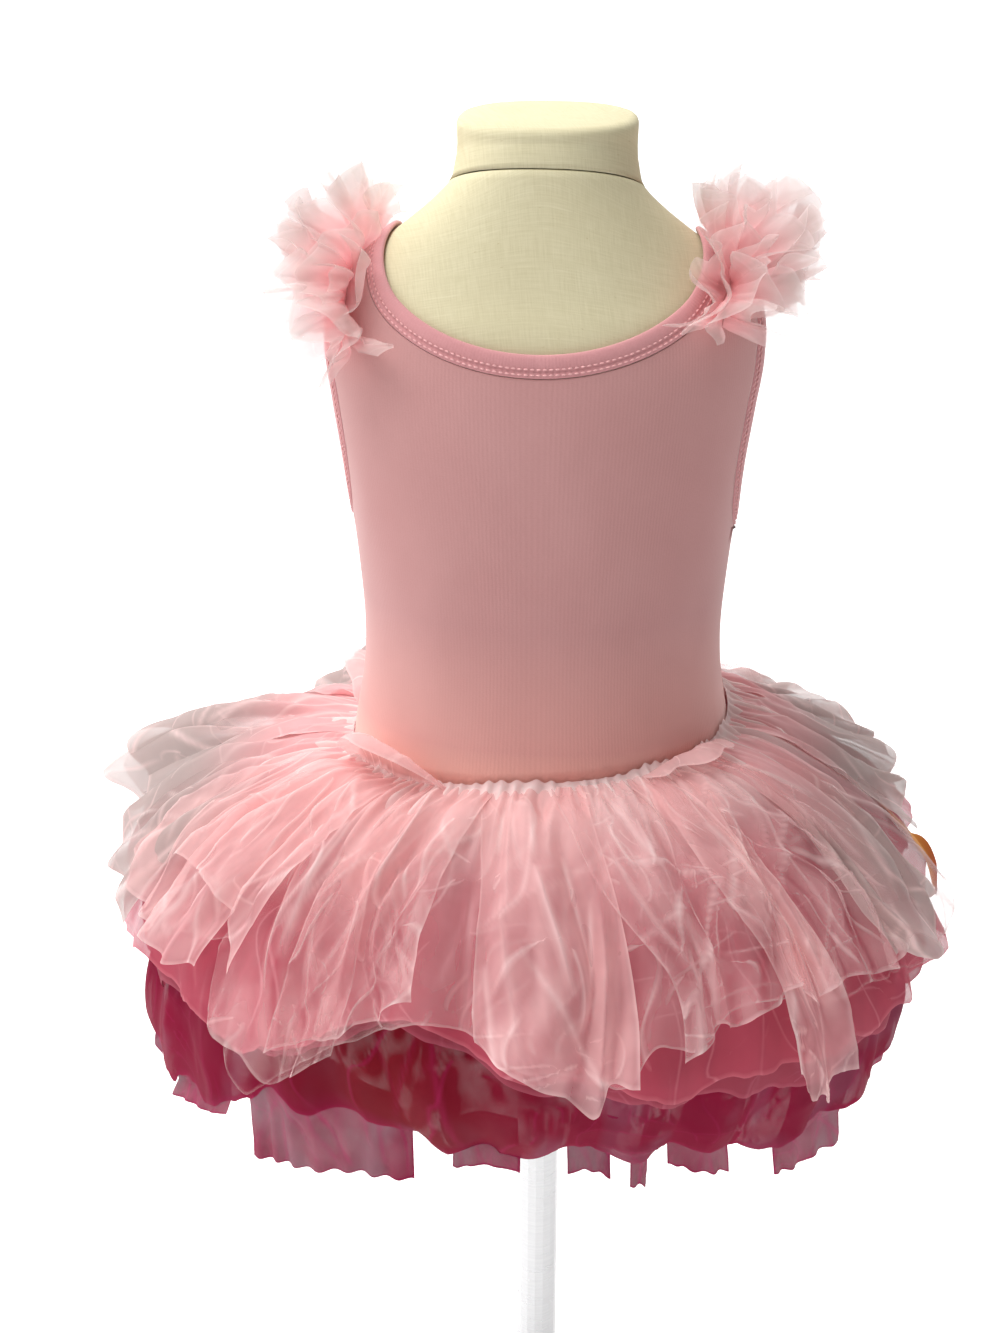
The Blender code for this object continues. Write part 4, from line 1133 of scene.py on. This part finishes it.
def panel(far):
    """Angles and heights of a bodice panel's points, rows from the waist seam up."""
    seam_angle = QUARTER - SEAM_GAP / 2 / SIDE_RADIUS
    arm_steps, neck_steps = 2 * ARM_ROWS, 2 * NECK_COLUMNS
    arm_angle, arm_height = offset_loop(*armhole(arm_steps), BAND_WIDTH + SEAM_GAP)
    picks = (np.arange(ARM_ROWS + 1) * (-1 if far else 1)) % arm_steps
    arm_angle = math.pi - arm_angle[picks] if far else arm_angle[picks]
    arm_angle[0] = arm_angle[-1] = seam_angle
    arm_height = arm_height[picks]
    turn = math.pi if far else 0.0
    rows = SIDE_ROWS + ARM_ROWS + 1
    columns = NECK_COLUMNS + 2 * SHOULDER_COLUMNS + 1
    u, v = across_and_down(columns, rows - 1)
    neck_angle, neck_height = offset_loop(*neckline(neck_steps), -(BAND_WIDTH + SEAM_GAP))
    half = NECK_COLUMNS // 2
    picks = (np.arange(-half, half + 1) + (neck_steps // 2 if far else 0)) % neck_steps
    neck_angle = np.mod(neck_angle[picks] - turn + math.pi, FULL_TURN) - math.pi
    neck_angle[0], neck_angle[-1] = -seam_angle, seam_angle
    neck = neck_height[picks]
    shoulder = np.linspace(arm_height[-1], neck[0], SHOULDER_COLUMNS + 1)[:-1]
    strap = np.full(SHOULDER_COLUMNS, seam_angle)
    top_angle = np.concatenate([-strap, neck_angle, strap])
    top_height = np.concatenate([shoulder, neck, shoulder[::-1]])
    side_angle = np.concatenate([np.full(SIDE_ROWS, seam_angle), arm_angle])[:, None]
    foot = waist_height(turn + np.linspace(-seam_angle, seam_angle, columns))
    climbs = []
    for low in (foot[0], foot[-1]):
        rise = np.linspace(low, arm_height[0], SIDE_ROWS + 1)[:-1]
        climb = np.concatenate([rise, arm_height])
        climbs.append(((climb - low) / (climb[-1] - low))[:, None])
    crowding = v**CROWDING
    share = (1 - crowding) * u + crowding * (top_angle + seam_angle) / (2 * seam_angle)
    angle = side_angle * (2 * share - 1)
    climb = (1 - u) * climbs[0] + u * climbs[1]
    height = foot + (top_height - foot) * climb
    ceiling = np.interp(angle, neck_angle, neck) - ROW_ROOM * (1 - v)
    height[:-1, 1:-1] = np.minimum(height, ceiling)[:-1, 1:-1]
    return angle, height


def bodice_panel(name, node, far):
    angle, height = panel(far)
    turn = math.pi if far else 0.0
    u = angle * SIDE_RADIUS
    ridges, _ = creased(u, height, WRINKLES)
    above = height - waist_height(angle + turn)
    pucker = 0.00028 * np.sin(95 * angle + 3 * noise(angle * 9, height * 40, 301))
    soft = 0.00035 * noise(angle * 4, height * 22, 303)
    lift = pucker * np.exp(-above / 0.010) + (ridges + soft) * ease(above / 0.01)
    points = on_body(angle + turn, height, CLOTH_GAP + JERSEY + lift)
    made = add_cloth(name, points, JERSEY_CLOTH, (u, height), node=node)
    wall = made.modifiers.new("wall", "SOLIDIFY")
    wall.thickness = JERSEY
    wall.offset = -1.0


# The binding's section: distance in from the free edge, and height off the form
BAND_SECTION = (
    (0.0110, 0.0012), (0.0110, 0.0024), (0.0104, 0.0029), (0.0095, 0.0031), (0.0086, 0.0029),
    (0.0080, 0.0026), (0.0074, 0.0029), (0.0062, 0.0034), (0.0042, 0.0037), (0.0020, 0.0036),
    (0.0006, 0.0032), (-0.0001, 0.0024), (0.0001, 0.0016), (0.0006, 0.0012),
)
SECTION_STEP = 0.002
STITCH_PITCH = 0.0030
STITCH_LONG = 0.0021
STITCH_THICK = 0.00042
STITCH_FLAT = 0.8
# inset and height of the rows of stitches
STITCH_ROWS = ((0.0094, 0.0033), (0.0068, 0.0034))


def binding(name, node, loop, sign, mirrored):
    """A turned binding round a closed line on the body, with its section swept along it."""
    points = np.array(
        [on_body(*offset_loop(*loop, sign * inset), lift) for inset, lift in BAND_SECTION]
    )
    if sign > 0:
        points = points[::-1]
    if mirrored:
        points = points[::-1] * MIRRORED
    section = np.cumsum([0.0] + [SECTION_STEP] * len(points))
    points = np.concatenate([points, points[:1]])
    uv = np.meshgrid(run_down(points[3]), section)
    add_cloth(name, points[:, ::-1], BINDING, uv, closed=True, node=node)


def stitch_row(loop, inset, lift, rings, sides):
    """Points of a row of short stitches, each one a rounded thread of so many rings and sides."""
    angle, height = offset_loop(*loop, inset)
    line, up = on_body(angle, height, lift), outward(angle, height)
    line, up = np.concatenate([line, line[:1]]), np.concatenate([up, up[:1]])
    run = run_down(line)
    count = int(run[-1] / STITCH_PITCH)
    centres = (np.arange(count) + 0.5) * run[-1] / count
    steps = np.linspace(-0.5, 0.5, rings)
    where = (centres[:, None] + steps * STITCH_LONG) % run[-1]
    places, ups = (
        np.stack([np.interp(where, run, table[:, i]) for i in range(3)], axis=-1)
        for table in (line, up)
    )
    ups = unit(ups)
    along = unit(places[:, -1] - places[:, 0])
    across = unit(np.cross(along[:, None], ups))
    radius = STITCH_THICK * np.sqrt(np.clip(1 - (2 * steps * 0.96) ** 2, 0.02, 1))[:, None, None]
    turn = turns(sides)[:, None]
    points = places[:, :, None] + across[:, :, None] * np.cos(turn) * radius
    return (points + ups[:, :, None] * np.sin(turn) * radius * STITCH_FLAT).reshape(-1, 3)


def stitches(name, loop, sign, mirrored):
    """Rows of short stitches along a binding, all in one mesh."""
    rings, sides = 5, 6
    points = np.concatenate(
        [stitch_row(loop, sign * inset, lift, rings, sides) for inset, lift in STITCH_ROWS]
    )
    size = rings * sides
    thread = grid_faces(rings, sides, True)
    thread += [list(reversed(range(sides))), list(range(size - sides, size))]
    faces = [[first + corner for corner in face] for first in range(0, len(points), size)
             for face in thread]
    if mirrored:
        points = points * MIRRORED
        faces = [face[::-1] for face in faces]
    add_mesh(name, points, faces, THREAD)


def build_bindings():
    neck, arm = neckline(260), armhole(150)
    rows = (
        ("neck_band", "neck_binding", neck, -1, False),
        ("armhole_band_right", "armhole_binding_right", arm, 1, False),
        ("armhole_band_left", "armhole_binding_left", arm, 1, True),
    )
    for name, node, *line in rows:
        binding(name, node, *line)
        stitches(name + "_stitches", *line)


# ---------------------------------------------------------------- shoulder frills

# The scene's own line for the +X frill lies nearer the neck: angle, height
INNER_LINE = (
    (50.0, 0.2330), (58.0, 0.2445), (74.0, 0.2540), (90.0, 0.2595), (106.0, 0.2530),
    (118.0, 0.2380), (126.0, 0.2230),
)
#  part, start and end along the strap, lean from the skin (degrees), root, height, waves, depth, fan
FRILLS = (
    ("outer", 0.30, 0.90, 16.0, 0.0026, 0.033, 5, 0.0075, 0.004),
    ("outer", 0.24, 0.94, 44.0, 0.0018, 0.040, 5, 0.0090, 0.008),
    ("crown", 0.10, 1.00, 68.0, 0.0008, 0.042, 6, 0.0090, 0.012),
    ("crown", 0.02, 0.98, 94.0, 0.0000, 0.043, 6, 0.0095, 0.018),
    ("crown", 0.00, 1.00, 118.0, -0.0008, 0.038, 7, 0.0085, 0.022),
    ("inner", 0.03, 0.92, 142.0, -0.0016, 0.037, 5, 0.0080, 0.020),
    ("inner", 0.00, 0.70, 162.0, -0.0024, 0.033, 5, 0.0060, 0.018),
)
FRILL_LIFT = 0.0030
FRILL_REACH = {"right": 1.06, "left": 1.0}
FRILL_WIDTH = 0.28  # across its flat cloth


def frill(index, side, node, start, end, lean, root, tall, waves, depth, fan):
    """A strip gathered along the strap: its root lies there and it stands up from it."""
    columns, rows = 230, 18
    left = side == "left"
    t = np.linspace(0, 1, columns)
    table = STRAP_LINE if left else INNER_LINE
    places = np.linspace(0, 1, len(table))
    angle, height = (hermite(start + (end - start) * t, places, row) for row in zip(*table))
    angle = np.radians(angle)
    along = evened(np.gradient(on_form(angle, height), axis=0))
    across_strap = evened(np.cross(outward(angle, height), along))
    across_strap *= np.sign(across_strap[columns // 2, 0])
    angle, height = slide(angle, height, across_strap, root)
    base = on_body(angle, height, FRILL_LIFT)
    up = evened(outward(angle, height))
    seed = 400 + 20 * index + (7 if left else 0)
    phase = 1.7 * index + (0.9 if left else 0.0)
    wander = FULL_TURN * waves * t + 3.2 * noise(t * 5, t * 0 + index, seed)
    petal = np.abs(np.sin(0.75 * wander + 1.3 * phase)) ** 0.7
    tallness = tall * (0.62 + 0.14 * np.sin(math.pi * t) + 0.14 * noise(t * 8, t * 0, seed + 1))
    tallness = FRILL_REACH[side] * (tallness + tall * 0.26 * petal)
    spread = (t - 0.5) * 2
    grid = []
    for s in np.linspace(0, 1, rows + 1):
        swing = np.sin(wander + 1.4 * s + phase) + 0.35 * np.sin(2.3 * wander + 3 * s + phase)
        tilt = lean - 8.0 * s * s * math.copysign(1.0, lean - 90.0)
        tilt = np.radians(tilt + 14.0 * s * noise(t * 5, t * 0 + 2 * s, seed + 2))[:, None]
        direction = np.cos(tilt) * across_strap + np.sin(tilt) * up
        point = base + (tallness * s)[:, None] * direction
        point = point + (fan * s * spread)[:, None] * along
        point = point + (depth * s**0.7 * swing)[:, None] * unit(np.cross(along, direction))
        point = point + (0.0020 * s * noise(t * 9, t * 0 + 3 * s, seed + 3))[:, None] * along
        grid.append(point)
    points = np.array(grid)
    down = run_down(points)
    u = np.broadcast_to(t * FRILL_WIDTH + index, down.shape)
    ridges, line = creased(u, down, scattered(
        10, seed + 4, (index, index + FRILL_WIDTH), (0.0, 0.03), (0.012, 0.036), (0.0004, 0.0010),
        (0.004, 0.009), (0.1, 0.5), 0.30,
    ))
    crests, values = crumple(u, down, 1200 + seed, 0.0006, 0.9)
    points = moved_out(points, ridges + crests * ease(down / 0.01))
    tip = ease(down / down[-1] * 1.2 - 0.2)
    values["crease"] = np.clip(line + 0.25 * bell(down[-1] - down, 0.0009), 0, 1)
    values["thick"] = 0.25 * np.exp(-down / 0.010) - 0.16 * tip
    values["tip"] = tip + np.zeros_like(down)
    if left:
        points = points[:, ::-1] * MIRRORED
        values = {key: value[:, ::-1] for key, value in values.items()}
        u, down = u[:, ::-1], down[:, ::-1]
    name = f"frill_{side}_{index + 1}"
    add_cloth(name, points, FRILL, (u, down), values, node=node)


def build_frills():
    """The first frill of each part stands for that part's solid."""
    for side in ("right", "left"):
        parts_built = set()
        for index, (part, *sizes) in enumerate(FRILLS):
            node = None if part in parts_built else f"frill_{side}_{part}"
            frill(index, side, node, *sizes)
            parts_built.add(part)


# ---------------------------------------------------------------- camera, light, stage

CAMERA_PLACE = (0.0629, -0.9849, 1.117)
CAMERA_TURN = math.radians(5.0)
CAMERA_DOWN = math.radians(25.3)
FOCAL_PIXELS = 2000.0
FRAME_TALL = 1333.0
SENSOR = 36.0


def place_looking(name, data, place, direction):
    """An object that looks in a direction, as cameras and area lights do along their -Z."""
    made = bpy.data.objects.new(name, data)
    made.location = place
    made.rotation_mode = "QUATERNION"
    made.rotation_quaternion = direction.to_track_quat("-Z", "Y")
    SCENE.collection.objects.link(made)
    return made


def build_camera():
    data = bpy.data.cameras.new("camera")
    data.sensor_width = SENSOR
    data.lens = FOCAL_PIXELS * SENSOR / FRAME_TALL
    data.clip_start = 0.05
    data.clip_end = 50.0
    level = math.cos(CAMERA_DOWN)
    ahead = (-math.sin(CAMERA_TURN) * level, math.cos(CAMERA_TURN) * level, -math.sin(CAMERA_DOWN))
    SCENE.camera = place_looking("camera", data, CAMERA_PLACE, Vector(ahead))


# name, place, what it is aimed at, size, power
LIGHTS = (
    ("overhead", (-0.75, -0.1, 2.4), (0, 0, 0.6), (1.5, 1.2), 42.0),
    ("left", (-1.7, -0.5, 1.2), (0, 0, 0.7), (0.8, 1.2), 9.0),
    ("back", (0.3, 1.9, 1.9), (0, 0.4, 0.3), (2.4, 1.0), 12.0),
)
SKY_POWER = 0.30
FLOOR_FRONT = -5.0
FLOOR_BACK = 2.2
FLOOR_HALF = 6.0
BACKDROP_BEND = 0.8
BACKDROP_TALL = 4.0


def floor_white():
    n = Nodes("floor_white", on_cloth=False)
    tint = n.mix(n.grain((3.0, 3.0, 3.0)), (0.90, 0.90, 0.90, 1.0), (0.92, 0.92, 0.92, 1.0))
    white = n.cloth(tint, 0.9, 0.1, Emission_Color=(1.0, 1.0, 1.0, 1.0), Emission_Strength=0.55)
    return n.surface(white)


def build_stage():
    """A pale floor that sweeps up into a backdrop, an even sky and soft lights."""
    bend = [
        (FLOOR_BACK + BACKDROP_BEND * math.sin(a), BACKDROP_BEND * (1 - math.cos(a)))
        for a in np.linspace(0, QUARTER, 13)
    ]
    profile = [(FLOOR_FRONT, 0.0), *bend, (FLOOR_BACK + BACKDROP_BEND, BACKDROP_TALL)]
    points = [(x, y, z) for y, z in profile for x in (-FLOOR_HALF, FLOOR_HALF)]
    mesh = bpy.data.meshes.new("floor")
    mesh.from_pydata(points, [], grid_faces(len(profile), 2, False))
    mesh.shade_smooth()
    mesh.materials.append(floor_white())
    floor = bpy.data.objects.new("floor", mesh)
    SCENE.collection.objects.link(floor)
    world = bpy.data.worlds.new("sky")
    world.use_nodes = True
    sky = world.node_tree.nodes["Background"].inputs
    sky[0].default_value = (1.0, 1.0, 1.0, 1.0)
    sky[1].default_value = SKY_POWER
    SCENE.world = world
    for name, place, aim, size, power in LIGHTS:
        data = bpy.data.lights.new(name, "AREA")
        data.shape = "RECTANGLE"
        data.size, data.size_y = size
        data.energy = power
        place_looking(name, data, place, Vector(aim) - Vector(place))
    SCENE.view_settings.view_transform = "Standard"


# ---------------------------------------------------------------- everything

build_camera()
build_stage()
build_form()
bodice_panel("bodice_near", "bodice_front", False)
bodice_panel("bodice_far", "bodice_back", True)
build_bindings()
build_frills()
build_layers()
for build, table in ((flap, FLAPS), (lobe, LOBES), (magenta_strip, MAGENTA_STRIPS)):
    for index, row in enumerate(table):
        build(index, *row)
build_petal()
